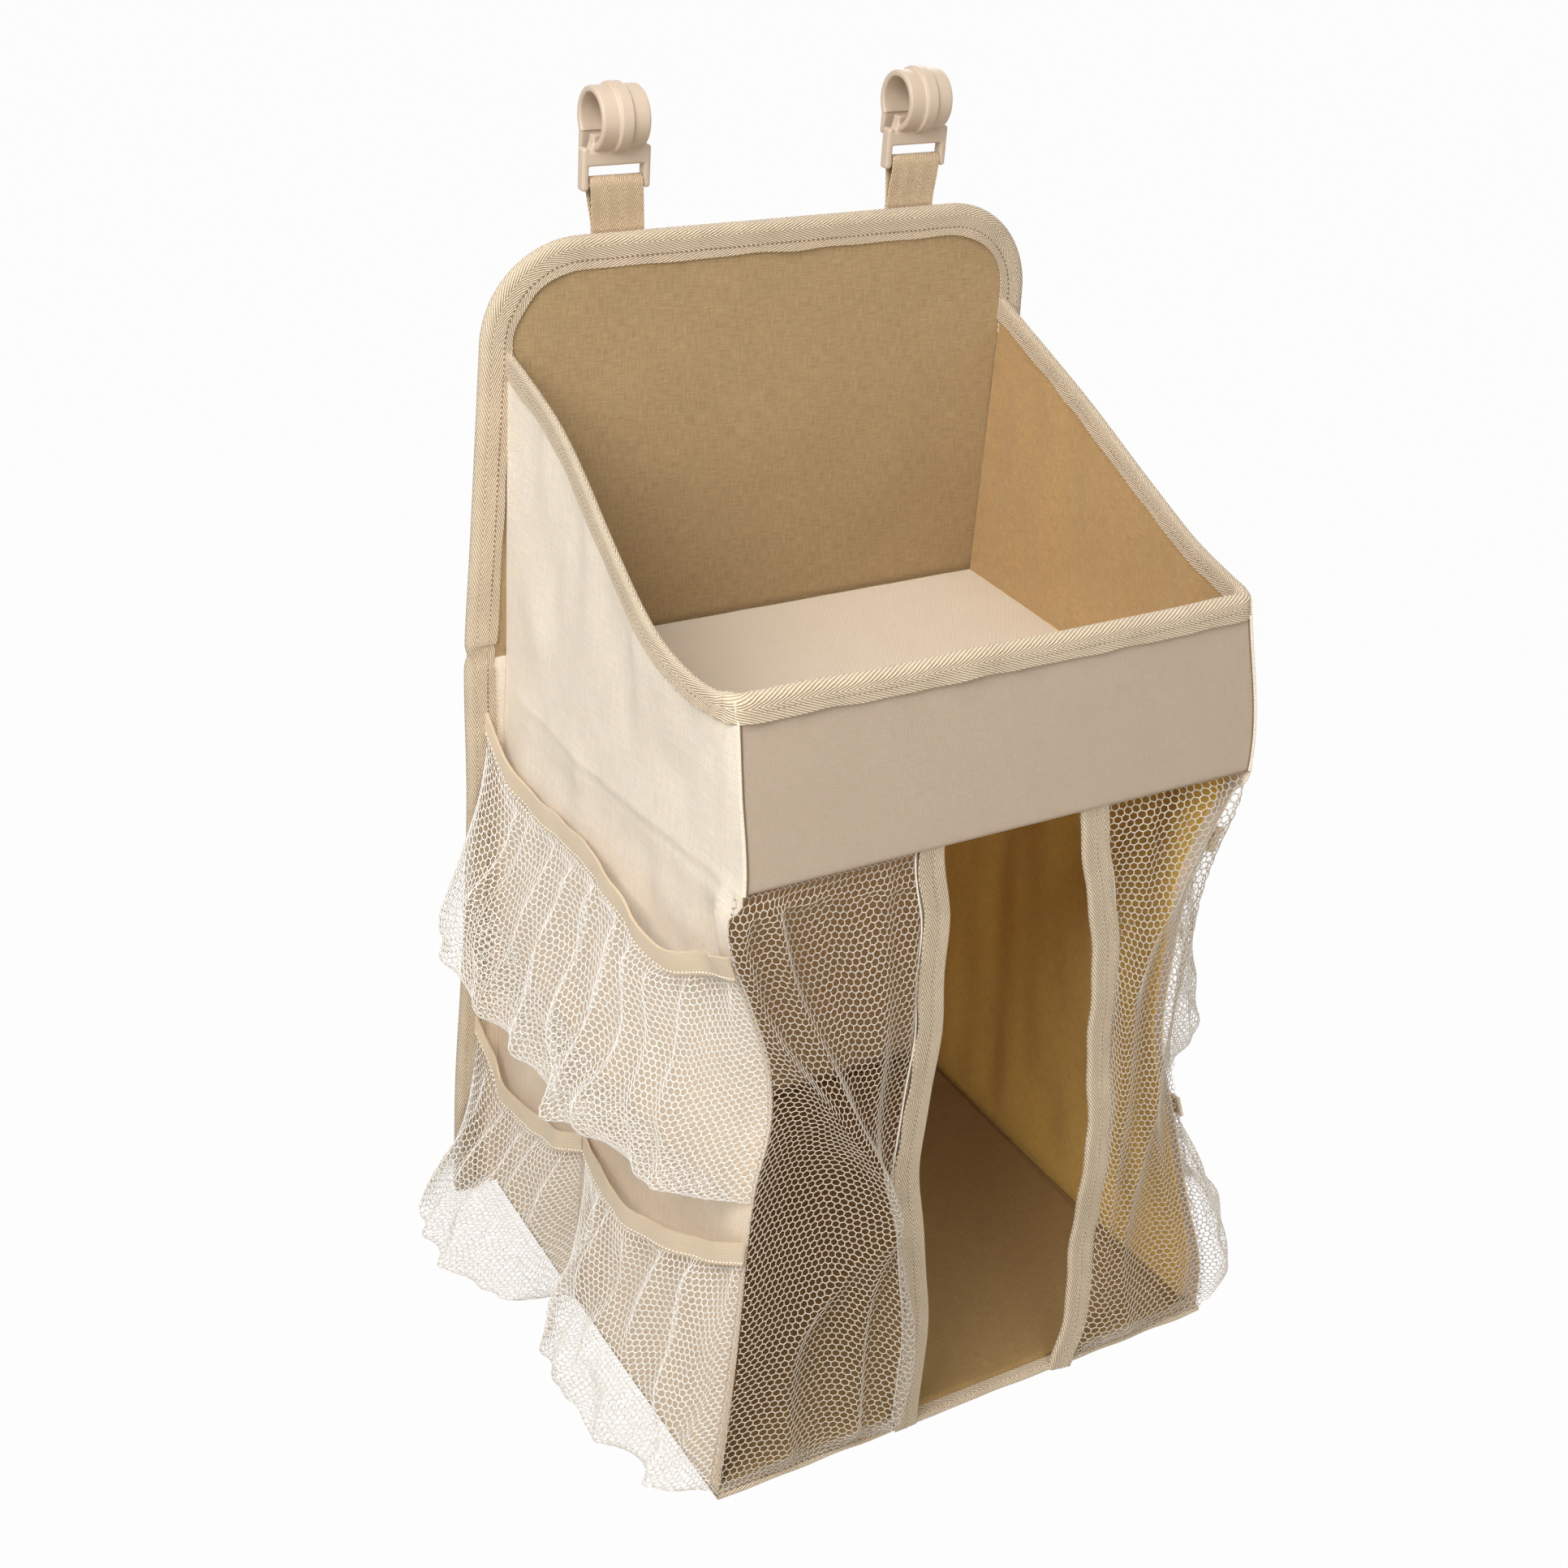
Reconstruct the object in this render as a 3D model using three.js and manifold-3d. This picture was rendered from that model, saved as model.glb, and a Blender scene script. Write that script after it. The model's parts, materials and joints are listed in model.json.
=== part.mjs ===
// A hanging caddy of cotton cloth: a stiff back panel, a tray on a shelf behind a fascia, a lower
// compartment behind two net curtains, net pockets on both sides, and two clip hooks on webbing straps.
// Millimetres, +Z up. X runs along the rail, and +Y points away from the user, behind the caddy.
// The origin is on the rail's axis, midway between the hooks. The caddy itself is drawn in a frame of
// its own, whose zero is the face of the back panel at the underside of the base.

import * as THREE from 'three';
import { mergeVertices } from 'three/addons/utils/BufferGeometryUtils.js';
import Module from 'manifold-3d';

// Driving dimensions of the body
const BODY_WIDTH = 250;
const BASE_FLARE = 5;
const SHELF_HEIGHT = 299;
const SHELF_DEPTH = 218;
const BASE_REACH = 15;
const FASCIA_HEIGHT = 76;
const FASCIA_SETBACK = 14;
const FASCIA_DROP = 2;
const WING_HEIGHT = 436;
const RIM_DIP = 8;
const LEFT_DRAW_IN = 16;
const RIGHT_DRAW_IN = 24;

// Driving dimensions of the back panel
const BACK_HEIGHT = 481;
const BACK_TOP_MARGIN = 11.5;
const BACK_FOOT_MARGIN = 20;
const BACK_CORNER_RADIUS = 44;
const BACK_FOLD_GAP = 6;

// Cloth, boards and tapes
const SEAT_GAP = 0.3;
const CLOTH = 0.8;
const BOARD = 2.5;
const BOARD_MARGIN = 3;
const SIDE_CLOTH = 1.6;
const FLOOR_CLOTH = 1.2;
const TAPE = 1;
const TAPE_LEG = 10;
const HEM_THICKNESS = 2.4;
const HEM_HEIGHT = 4;
const INSERT_SIDE_GAP = 5;
const INSERT_END_GAP = 3;

// Curtains
const NET = 0.8;
const NET_PITCH = 16;
const NET_STRAND = 1.6;
const CURTAIN_FOLD = 5;
const CURTAIN_TAPE_WIDTH = 12.5;
const LEFT_CURTAIN = { top: 40, foot: 33, bow: 0, folds: 1.5 };
const RIGHT_CURTAIN = { top: 39, foot: 54, bow: 12, folds: 1 };

// Pockets
const BAND_HEIGHT = 11;
const BAND = 1.2;
const UPPER_POCKET = { top: 262, frontTop: 264, dip: 15, foot: 136, bulge: 36, mouth: 12 };
const LOWER_POCKET = { top: 96, frontTop: 116, dip: 14, foot: 4, bulge: 40, mouth: 12 };
const POCKET_DIVIDER = 100;
const POCKET_DIVIDER_SEAM = 2;
const POCKET_EDGE = 3;
const POCKET_SEAT_GAP = 0.6;

// Straps and hooks
const HOOK_SPACING = 144;
const WEBBING = 1.2;
const WEBBING_WIDTH = 24;
const STRAP_RISE = 17.5;
const STRAP_STANDOFF = 2;
const STRAP_TAIL = 45;
const STRAP_FORK = 8;
const HOOK_BORE_RADIUS = 10.2;
const HOOK_WALL = 3.4;
const HOOK_WIDTH = 25;
const HOOK_LIP_ANGLE = -40;
const HOOK_RIB = { from: 60, to: 236 };
const HOOK_RIB_WIDTH = 6;
const HOOK_RIB_HEIGHT = 1;
const HOOK_OVERLAP = 1;
const HOOK_MOUTH = 7;
const HOOK_LIP_LENGTH = 10;
const HOOK_LIP = 2.8;
const FRAME_DEPTH = 5.4;
const FRAME_OFFSET = 1.5;
const FRAME_ARM = 3;
const FRAME_SIDE_PLAY = 1.25;
const FRAME_CORNER_RADIUS = 2.5;
const CROSSBAR_HEIGHT = 6.8;
const SLOT_PLAY = 3.3;
const BAR_RADIUS = 1.8;

// Sizes that follow
const BASE_DEPTH = SHELF_DEPTH + BASE_REACH;
const BACK_TOP_WIDTH = BODY_WIDTH + 2 * BACK_TOP_MARGIN;
const BACK_FOOT_WIDTH = BODY_WIDTH + 2 * BACK_FOOT_MARGIN;
const PANEL = BOARD + 2 * CLOTH + 2 * SEAT_GAP;
const TAPE_CROWN = TAPE + SEAT_GAP;
const REAR_EDGE = -(TAPE_CROWN + SEAT_GAP);
const SHELF_UNDERSIDE = SHELF_HEIGHT - PANEL;
const FASCIA_FOOT = SHELF_HEIGHT - FASCIA_DROP;
const FASCIA_TOP = FASCIA_FOOT + FASCIA_HEIGHT;
const FASCIA_LEAN = Math.atan2(FASCIA_SETBACK, FASCIA_HEIGHT);
const SIDE_FOOT = FLOOR_CLOTH + SEAT_GAP;
const STRAP_PLANE = PANEL + TAPE_CROWN + SEAT_GAP + WEBBING;
const STRAP_PIVOT = BACK_HEIGHT + STRAP_STANDOFF;
const BAR_CENTRE = STRAP_PIVOT + STRAP_RISE;
const LOOP_BORE = BAR_RADIUS + SEAT_GAP;
const LOOP_OUTER = LOOP_BORE + WEBBING;
const SLOT_TOP = LOOP_OUTER + SLOT_PLAY;
const HOOK_OUTER = HOOK_BORE_RADIUS + HOOK_WALL;
const BAR_DROP = HOOK_OUTER - HOOK_OVERLAP + CROSSBAR_HEIGHT + SLOT_TOP;
const RAIL_HEIGHT = BAR_CENTRE + BAR_DROP;
const RAIL_SETBACK = STRAP_PLANE + FRAME_OFFSET;
const SIDES = [{ name: 'left', sign: -1 }, { name: 'right', sign: 1 }];

// How finely the curved pieces are cut up
const CORNER_STEPS = 8;
const SIDE_COLUMNS = 10;
const SIDE_LOWER_ROWS = 9;
const SIDE_WING_ROWS = 3;
const HEM_SEGMENTS = 4;
const RIM_STEPS = 9;
const CURTAIN_TAPE_STEPS = 12;
const POCKET_COLUMNS = 12;
const POCKET_ROWS = 7;
const LOOP_SEGMENTS = 10;
const RING_SEGMENTS = 28;
const RIB_SEGMENTS = 18;
const FRAME_CORNER_SEGMENTS = 5;
const BAR_SIDES = 16;
const BORE_SIDES = 32;

// How far a cutting shape stands out of what it cuts
const CUT_EXCESS = 1;

const wasm = await Module();
wasm.setup();

const lerp = THREE.MathUtils.lerp;
const clamp = THREE.MathUtils.clamp;

// Materials, by finish
function cloth(color) {
  return new THREE.MeshStandardMaterial({ color, roughness: 0.92, metalness: 0 });
}
const finishes = {
  canvas: cloth(0xf1e0c6),
  lining: cloth(0xcbb48c),
  fasciaCloth: cloth(0xcdbfa6),
  shelfCloth: cloth(0xd9c6aa),
  tape: cloth(0xe3d5b8),
  net: cloth(0xf2ece4),
  elastic: cloth(0xe6d5bb),
  webbing: cloth(0xdcc7a2),
  board: cloth(0x9c8465),
  plastic: new THREE.MeshStandardMaterial({ color: 0xe2cdb4, roughness: 0.5, metalness: 0 }),
};

// Makes a closed geometry's faces point outwards.
function facingOut(geometry) {
  const position = geometry.getAttribute('position');
  const index = geometry.getIndex().array;
  const corners = [new THREE.Vector3(), new THREE.Vector3(), new THREE.Vector3()];
  let volume = 0;
  for (let i = 0; i < index.length; i += 3) {
    corners.forEach((corner, k) => corner.fromBufferAttribute(position, index[i + k]));
    volume += corners[0].dot(corners[1].cross(corners[2]));
  }
  if (volume < 0) {
    for (let i = 0; i < index.length; i += 3) {
      const kept = index[i + 1];
      index[i + 1] = index[i + 2];
      index[i + 2] = kept;
    }
  }
  geometry.computeVertexNormals();
  return geometry;
}

function geometryFrom(points, triangles) {
  const geometry = new THREE.BufferGeometry();
  geometry.setAttribute('position', new THREE.Float32BufferAttribute(points.flatMap((p) => p.toArray()), 3));
  geometry.setIndex(triangles.flat());
  return facingOut(geometry);
}

// A closed plate between two surfaces that share a grid of (columns + 1) x (rows + 1) points.
function plateBetween(columns, rows, outer, inner) {
  const points = [];
  const triangles = [];
  const width = columns + 1;
  const layer = width * (rows + 1);
  for (const surface of [outer, inner]) {
    for (let j = 0; j <= rows; j++) {
      for (let i = 0; i <= columns; i++) points.push(surface(i, j));
    }
  }
  const quad = (a, b, c, d) => triangles.push([a, b, c], [a, c, d]);
  for (let j = 0; j < rows; j++) {
    for (let i = 0; i < columns; i++) {
      const a = j * width + i;
      quad(a, a + 1, a + 1 + width, a + width);
      quad(layer + a, layer + a + width, layer + a + 1 + width, layer + a + 1);
    }
  }
  const rim = [];
  for (let i = 0; i < columns; i++) rim.push(i);
  for (let j = 0; j < rows; j++) rim.push(j * width + columns);
  for (let i = columns; i > 0; i--) rim.push(rows * width + i);
  for (let j = rows; j > 0; j--) rim.push(j * width);
  rim.forEach((a, k) => {
    const b = rim[(k + 1) % rim.length];
    quad(b, a, layer + a, layer + b);
  });
  return geometryFrom(points, triangles);
}

// A closed body that joins like sections along a run; the sections' ends are closed flat.
function loft(sections, profile) {
  const count = sections[0].length;
  const points = sections.flat();
  const triangles = [];
  for (let s = 0; s + 1 < sections.length; s++) {
    for (let k = 0; k < count; k++) {
      const a = s * count + k;
      const b = s * count + ((k + 1) % count);
      triangles.push([a, b, b + count], [a, b + count, a + count]);
    }
  }
  const last = (sections.length - 1) * count;
  const backwards = THREE.ShapeUtils.isClockWise(profile);
  for (const face of THREE.ShapeUtils.triangulateShape(profile, [])) {
    const [a, b, c] = backwards ? [...face].reverse() : face;
    triangles.push([c, b, a], [last + a, last + b, last + c]);
  }
  return geometryFrom(points, triangles);
}

function solid(geometry) {
  const plain = geometry.clone();
  plain.deleteAttribute('normal');
  plain.deleteAttribute('uv');
  const merged = mergeVertices(plain);
  return new wasm.Manifold(new wasm.Mesh({
    numProp: 3,
    vertProperties: merged.getAttribute('position').array,
    triVerts: new Uint32Array(merged.getIndex().array),
  }));
}

function geometryOf(manifold) {
  const mesh = manifold.getMesh();
  const geometry = new THREE.BufferGeometry();
  geometry.setAttribute('position', new THREE.BufferAttribute(new Float32Array(mesh.vertProperties), 3));
  geometry.setIndex(new THREE.BufferAttribute(new Uint32Array(mesh.triVerts), 1));
  geometry.computeVertexNormals();
  return geometry;
}

function boxBetween(low, high) {
  const size = high.map((value, k) => value - low[k]);
  const box = new THREE.BoxGeometry(...size);
  box.translate(...low.map((value, k) => value + size[k] / 2));
  return box;
}

// A flat outline of [x, z] points, made a plate that fills y from near to far.
function uprightPlate(outline, near, far) {
  const shape = new THREE.Shape(outline.map(([x, z]) => new THREE.Vector2(x, z)));
  const geometry = new THREE.ExtrudeGeometry(shape, { depth: far - near, bevelEnabled: false });
  geometry.rotateX(Math.PI / 2);
  geometry.translate(0, far, 0);
  return geometry;
}

// A shape drawn in (y, z), made a bar of the given width across x.
function acrossX(shape, width, curveSegments) {
  const geometry = new THREE.ExtrudeGeometry(shape, { depth: width, bevelEnabled: false, curveSegments });
  geometry.rotateZ(Math.PI / 2);
  geometry.rotateY(Math.PI / 2);
  geometry.translate(-width / 2, 0, 0);
  return geometry;
}

const caddy = new THREE.Group();
caddy.position.set(0, -RAIL_SETBACK, -RAIL_HEIGHT);

function piece(name, geometry, finish, parent = caddy) {
  const mesh = new THREE.Mesh(geometry, finishes[finish]);
  mesh.name = name;
  parent.add(mesh);
  return mesh;
}

// A cloth sleeve, open along one edge, and the board inside it. The open edge is the high end of
// the axis that openAxis names.
function sleeveAndBoard(names, low, high, openAxis, finish, parent) {
  const inner = low.map((value) => value + CLOTH);
  const outer = high.map((value, k) => (k === openAxis ? value + CLOTH : value - CLOTH));
  const sleeve = solid(boxBetween(low, high)).subtract(solid(boxBetween(inner, outer)));
  const boardLow = inner.map((value) => value + SEAT_GAP);
  const boardHigh = high.map((value, k) => (k === openAxis ? value - SEAT_GAP : value - CLOTH - SEAT_GAP));
  piece(names.cover, geometryOf(sleeve), finish, parent);
  piece(names.board, boxBetween(boardLow, boardHigh), 'board', parent);
}

// Back panel: its outline goes up the left edge, over the top and down the right edge.
function backHalfWidth(z) {
  return lerp(BACK_FOOT_WIDTH, BACK_TOP_WIDTH, z / (BACK_HEIGHT - BACK_CORNER_RADIUS)) / 2;
}

function backEdge(foot = 0) {
  const left = [{ x: -backHalfWidth(foot), z: foot, nx: -1, nz: 0 }];
  for (let i = 0; i <= CORNER_STEPS; i++) {
    const angle = Math.PI - (Math.PI / 2) * (i / CORNER_STEPS);
    const nx = Math.cos(angle);
    const nz = Math.sin(angle);
    left.push({
      x: -(BACK_TOP_WIDTH / 2 - BACK_CORNER_RADIUS) + nx * BACK_CORNER_RADIUS,
      z: BACK_HEIGHT - BACK_CORNER_RADIUS + nz * BACK_CORNER_RADIUS,
      nx,
      nz,
    });
  }
  const right = left.map((p) => ({ ...p, x: -p.x, nx: -p.nx })).reverse();
  return [...left, ...right];
}

function backOutline(inset, foot = 0) {
  return backEdge(foot).map((p) => [p.x - p.nx * inset, p.z - p.nz * inset]);
}

function makeBackPanel() {
  const coverRear = PANEL - CLOTH;
  const boardNear = CLOTH + SEAT_GAP;
  const boardInset = TAPE_CROWN + BOARD_MARGIN;
  const foldLow = SHELF_HEIGHT - BACK_FOLD_GAP / 2;
  const foldHigh = SHELF_HEIGHT + BACK_FOLD_GAP / 2;
  const footHalf = backHalfWidth(BOARD_MARGIN) - boardInset;
  const foldHalf = backHalfWidth(foldLow) - boardInset;
  const lower = [[-footHalf, BOARD_MARGIN], [-foldHalf, foldLow], [foldHalf, foldLow], [footHalf, BOARD_MARGIN]];
  const upper = backOutline(boardInset, foldHigh);
  piece('back_cover_front', uprightPlate(backOutline(TAPE_CROWN), 0, CLOTH), 'lining');
  piece('back_cover_rear', uprightPlate(backOutline(TAPE_CROWN), coverRear, PANEL), 'canvas');
  piece('back_board_upper', uprightPlate(upper, boardNear, boardNear + BOARD), 'board');
  piece('back_board_lower', uprightPlate(lower, boardNear, boardNear + BOARD), 'board');

  // The folded tape: [depth in y, distance outwards from the panel's finished edge].
  const section = [
    [-TAPE_CROWN, -TAPE_CROWN - TAPE_LEG], [-TAPE_CROWN, 0], [PANEL + TAPE_CROWN, 0],
    [PANEL + TAPE_CROWN, -TAPE_CROWN - TAPE_LEG], [PANEL + SEAT_GAP, -TAPE_CROWN - TAPE_LEG],
    [PANEL + SEAT_GAP, -TAPE], [-SEAT_GAP, -TAPE], [-SEAT_GAP, -TAPE_CROWN - TAPE_LEG],
  ];
  const runs = backEdge().map((p) => section.map(([y, out]) => (
    new THREE.Vector3(p.x + p.nx * out, y, p.z + p.nz * out)
  )));
  piece('back_binding', loft(runs, section.map(([y, out]) => new THREE.Vector2(y, out))), 'tape');
}

// Side panels
const DRAW_IN_SKEW = 0.7;
const DRAW_IN_EASE = 1.6;
function fasciaFrontY(z) {
  return -SHELF_DEPTH + (z - FASCIA_FOOT) * Math.tan(FASCIA_LEAN);
}

function fasciaRearY(z) {
  return fasciaFrontY(z) + PANEL / Math.cos(FASCIA_LEAN);
}

// How far down a height lies between the shelf, 0, and the base, 1.
function baseShare(z) {
  return clamp((SHELF_UNDERSIDE - z) / SHELF_UNDERSIDE, 0, 1);
}

function sideFrontY(z) {
  const below = lerp(fasciaRearY(SHELF_HEIGHT) + SEAT_GAP, -BASE_DEPTH, baseShare(z));
  return z > SHELF_HEIGHT ? fasciaRearY(z) + SEAT_GAP : below;
}

// Distance from the middle to a side panel's outer face: it flares to the base, and the net
// curtains draw its front edge in.
function sideReach(sign, y, z) {
  const share = baseShare(z);
  const forward = clamp(y / sideFrontY(z), 0, 1);
  const most = sign < 0 ? LEFT_DRAW_IN : RIGHT_DRAW_IN;
  const drawn = Math.max(0, Math.sin(Math.PI * share ** DRAW_IN_SKEW)) ** DRAW_IN_EASE;
  return BODY_WIDTH / 2 + BASE_FLARE * share - most * drawn * forward ** 2;
}

// Height of the finished rim, at a share of the way from the back panel to the fascia.
function rimHeight(forward) {
  return lerp(WING_HEIGHT, FASCIA_TOP, forward) - RIM_DIP * Math.sin(Math.PI * forward ** 2);
}

function makeSidePanel({ name, sign }) {
  const at = (inset) => (i, j) => {
    const forward = i / SIDE_COLUMNS;
    const wingTop = rimHeight(forward) - TAPE_CROWN;
    const wing = (j - SIDE_LOWER_ROWS - 1) / SIDE_WING_ROWS;
    const lower = lerp(SIDE_FOOT, SHELF_UNDERSIDE, j / SIDE_LOWER_ROWS);
    const z = j > SIDE_LOWER_ROWS ? lerp(SHELF_HEIGHT, wingTop, wing) : lower;
    const y = lerp(REAR_EDGE, sideFrontY(z), forward);
    return new THREE.Vector3(sign * (sideReach(sign, y, z) - inset), y, z);
  };
  const rows = SIDE_LOWER_ROWS + 1 + SIDE_WING_ROWS;
  piece(`side_panel_${name}`, plateBetween(SIDE_COLUMNS, rows, at(0), at(SIDE_CLOTH)), 'canvas');
}

// Fascia, shelf, base floor, hem and base insert
function makeStiffParts() {
  const leaning = new THREE.Group();
  leaning.position.set(0, -SHELF_DEPTH, FASCIA_FOOT);
  leaning.rotation.x = -FASCIA_LEAN;
  caddy.add(leaning);
  const half = BODY_WIDTH / 2;
  const slope = (FASCIA_HEIGHT - TAPE_CROWN) / Math.cos(FASCIA_LEAN);
  const fascia = { cover: 'fascia_cover', board: 'fascia_board' };
  sleeveAndBoard(fascia, [-half, 0, 0], [half, PANEL, slope], 2, 'fasciaCloth', leaning);

  const shelfHalf = half - SIDE_CLOTH - SEAT_GAP;
  const shelfFront = fasciaRearY(SHELF_HEIGHT) + SEAT_GAP;
  const shelf = { cover: 'shelf_cover', board: 'shelf_board' };
  const shelfLow = [-shelfHalf, shelfFront, SHELF_UNDERSIDE];
  sleeveAndBoard(shelf, shelfLow, [shelfHalf, REAR_EDGE, SHELF_HEIGHT], 1, 'shelfCloth', caddy);

  const floorHalf = half + BASE_FLARE;
  piece('base_floor', boxBetween([-floorHalf, -BASE_DEPTH, 0], [floorHalf, REAR_EDGE, FLOOR_CLOTH]), 'canvas');

  const hemRear = -BASE_DEPTH - SEAT_GAP;
  const hem = new THREE.Shape();
  hem.moveTo(hemRear, 0);
  hem.lineTo(hemRear, HEM_HEIGHT);
  hem.absellipse(hemRear, HEM_HEIGHT / 2, HEM_THICKNESS, HEM_HEIGHT / 2, Math.PI / 2, 1.5 * Math.PI);
  hem.closePath();
  piece('base_hem', acrossX(hem, 2 * floorHalf, HEM_SEGMENTS), 'tape');

  const insertHalf = floorHalf - SIDE_CLOTH - INSERT_SIDE_GAP;
  const insertLow = [-insertHalf, -BASE_DEPTH + INSERT_END_GAP, SIDE_FOOT];
  const insertHigh = [insertHalf, REAR_EDGE - INSERT_END_GAP, SIDE_FOOT + PANEL];
  const insert = { cover: 'insert_cover', board: 'insert_board' };
  sleeveAndBoard(insert, insertLow, insertHigh, 1, 'lining', caddy);
}

// Rim tape: over the left wing from the back panel, along the fascia's top, and back over the right
// wing. Each corner of its section is [outwards or inwards, which face of the tape, height].
function makeRimBinding() {
  const section = [
    [1, TAPE_CROWN, -TAPE_CROWN - TAPE_LEG], [1, TAPE_CROWN, 0], [-1, TAPE_CROWN, 0],
    [-1, TAPE_CROWN, -TAPE_CROWN - TAPE_LEG], [-1, SEAT_GAP, -TAPE_CROWN - TAPE_LEG],
    [-1, SEAT_GAP, -TAPE], [1, SEAT_GAP, -TAPE], [1, SEAT_GAP, -TAPE_CROWN - TAPE_LEG],
  ];
  const wingMiddle = BODY_WIDTH / 2 - SIDE_CLOTH / 2;
  const wingX = ([face, out]) => wingMiddle + face * (SIDE_CLOTH / 2 + out);
  const fasciaHalf = PANEL / 2 / Math.cos(FASCIA_LEAN);
  const fasciaY = ([face, out, up]) => {
    const middle = fasciaFrontY(FASCIA_TOP + up) + fasciaHalf;
    return middle - face * (fasciaHalf + out);
  };
  const wing = [];
  for (let i = 0; i < RIM_STEPS; i++) {
    const forward = i / RIM_STEPS;
    const y = lerp(REAR_EDGE, sideFrontY(FASCIA_TOP), forward);
    wing.push(section.map((p) => new THREE.Vector3(-wingX(p), y, rimHeight(forward) + p[2])));
  }
  wing.push(section.map((p) => new THREE.Vector3(-wingX(p), fasciaY(p), FASCIA_TOP + p[2])));
  const mirrored = wing.map((run) => run.map((p) => new THREE.Vector3(-p.x, p.y, p.z))).reverse();
  const profile = section.map(([face, out, up]) => new THREE.Vector2(face * (SIDE_CLOTH / 2 + out), up));
  piece('rim_binding', loft([...wing, ...mirrored], profile), 'tape');
}

// Curtains. Across a curtain, share 0 is at the side panel and 1 is at its tape.
const CURTAIN_FOOT = HEM_HEIGHT + SEAT_GAP;
const CURTAIN_TOP = FASCIA_FOOT - PANEL * Math.sin(FASCIA_LEAN) - SEAT_GAP;
function curtainPlane(z) {
  return sideFrontY(Math.min(z, SHELF_UNDERSIDE)) - NET / 2 - TAPE - 2 * SEAT_GAP;
}

function tapeMiddle(curtain, z) {
  const up = (z - CURTAIN_FOOT) / (CURTAIN_TOP - CURTAIN_FOOT);
  return lerp(curtain.foot, curtain.top, up) + curtain.bow * Math.sin(Math.PI * up);
}

function curtainPoint(side, curtain, share, z, offset) {
  const up = (z - CURTAIN_FOOT) / (CURTAIN_TOP - CURTAIN_FOOT);
  const outer = sideReach(side.sign, curtainPlane(z), z);
  const tapeEdge = tapeMiddle(curtain, z) + CURTAIN_TAPE_WIDTH / 2;
  const inner = tapeEdge - TAPE_LEG + SEAT_GAP;
  const loose = clamp((share * (outer - inner)) / (outer - tapeEdge - NET_PITCH), 0, 1);
  const swing = Math.sin(Math.PI * loose) * Math.sin(Math.PI * up);
  const fold = CURTAIN_FOLD * swing * Math.sin(2 * Math.PI * (curtain.folds * loose + up));
  return new THREE.Vector3(side.sign * lerp(outer, inner, share), curtainPlane(z) - fold + offset, z);
}

// A sheet made of flat patches that share their corners, bent by place(point, offset), where offset
// runs through its thickness. Edges that no second patch shares are walled.
function thickSheet(patches, thickness, place) {
  const flat = [];
  const numbers = new Map();
  const numberOf = (p) => {
    const key = `${p.x.toFixed(3)},${p.y.toFixed(3)}`;
    if (!numbers.has(key)) numbers.set(key, flat.push(p) - 1);
    return numbers.get(key);
  };
  const faces = patches.flatMap((patch) => (
    THREE.ShapeUtils.triangulateShape(patch, []).map((face) => face.map((k) => numberOf(patch[k])))
  ));
  const count = flat.length;
  const triangles = [];
  const open = new Set();
  for (const [a, b, c] of faces) {
    triangles.push([a, b, c], [count + c, count + b, count + a]);
    for (const [from, to] of [[a, b], [b, c], [c, a]]) {
      if (!open.delete(`${to},${from}`)) open.add(`${from},${to}`);
    }
  }
  for (const edge of open) {
    const [a, b] = edge.split(',').map(Number);
    triangles.push([b, a, count + a], [b, count + a, count + b]);
  }
  const points = [thickness / 2, -thickness / 2].flatMap((offset) => flat.map((p) => place(p, offset)));
  return geometryFrom(points, triangles);
}

// The net laid out flat, [across, height]: a zigzag band between each two rows of hexagonal gaps, and
// a short strand between each two gaps of a row.
function netPatches(width) {
  const columns = Math.round(width / NET_PITCH - 0.5);
  const pitch = (width - NET_STRAND) / (columns + 0.5);
  const half = (pitch - NET_STRAND) / 2;
  const radius = half / Math.cos(Math.PI / 6);
  const rowStep = pitch * Math.sin(Math.PI / 3);
  const rows = Math.floor((CURTAIN_TOP - CURTAIN_FOOT - 2 * radius - 2 * NET_STRAND) / rowStep) + 1;
  const lowRow = (CURTAIN_TOP + CURTAIN_FOOT - (rows - 1) * rowStep) / 2;
  const at = (x, z) => new THREE.Vector2(x, z);
  const patches = [];
  let below = [at(0, CURTAIN_FOOT), at(width, CURTAIN_FOOT)];
  for (let row = 0; row < rows; row++) {
    const middle = lowRow + row * rowStep;
    const [low, high] = [-1, 1].map((up) => {
      const edge = [at(0, middle + (up * radius) / 2)];
      for (let column = 0; column < columns; column++) {
        const x = NET_STRAND / 2 + (column + 0.5 + (row % 2) / 2) * pitch;
        edge.push(at(x - half, middle + (up * radius) / 2));
        edge.push(at(x, middle + up * radius));
        edge.push(at(x + half, middle + (up * radius) / 2));
      }
      return [...edge, at(width, middle + (up * radius) / 2)];
    });
    for (let k = 0; k < low.length; k += 3) {
      patches.push([low[k], low[k + 1], high[k + 1], high[k]]);
    }
    patches.push([...below, ...[...low].reverse()]);
    below = high;
  }
  return [...patches, [...below, at(width, CURTAIN_TOP), at(0, CURTAIN_TOP)]];
}

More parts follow.
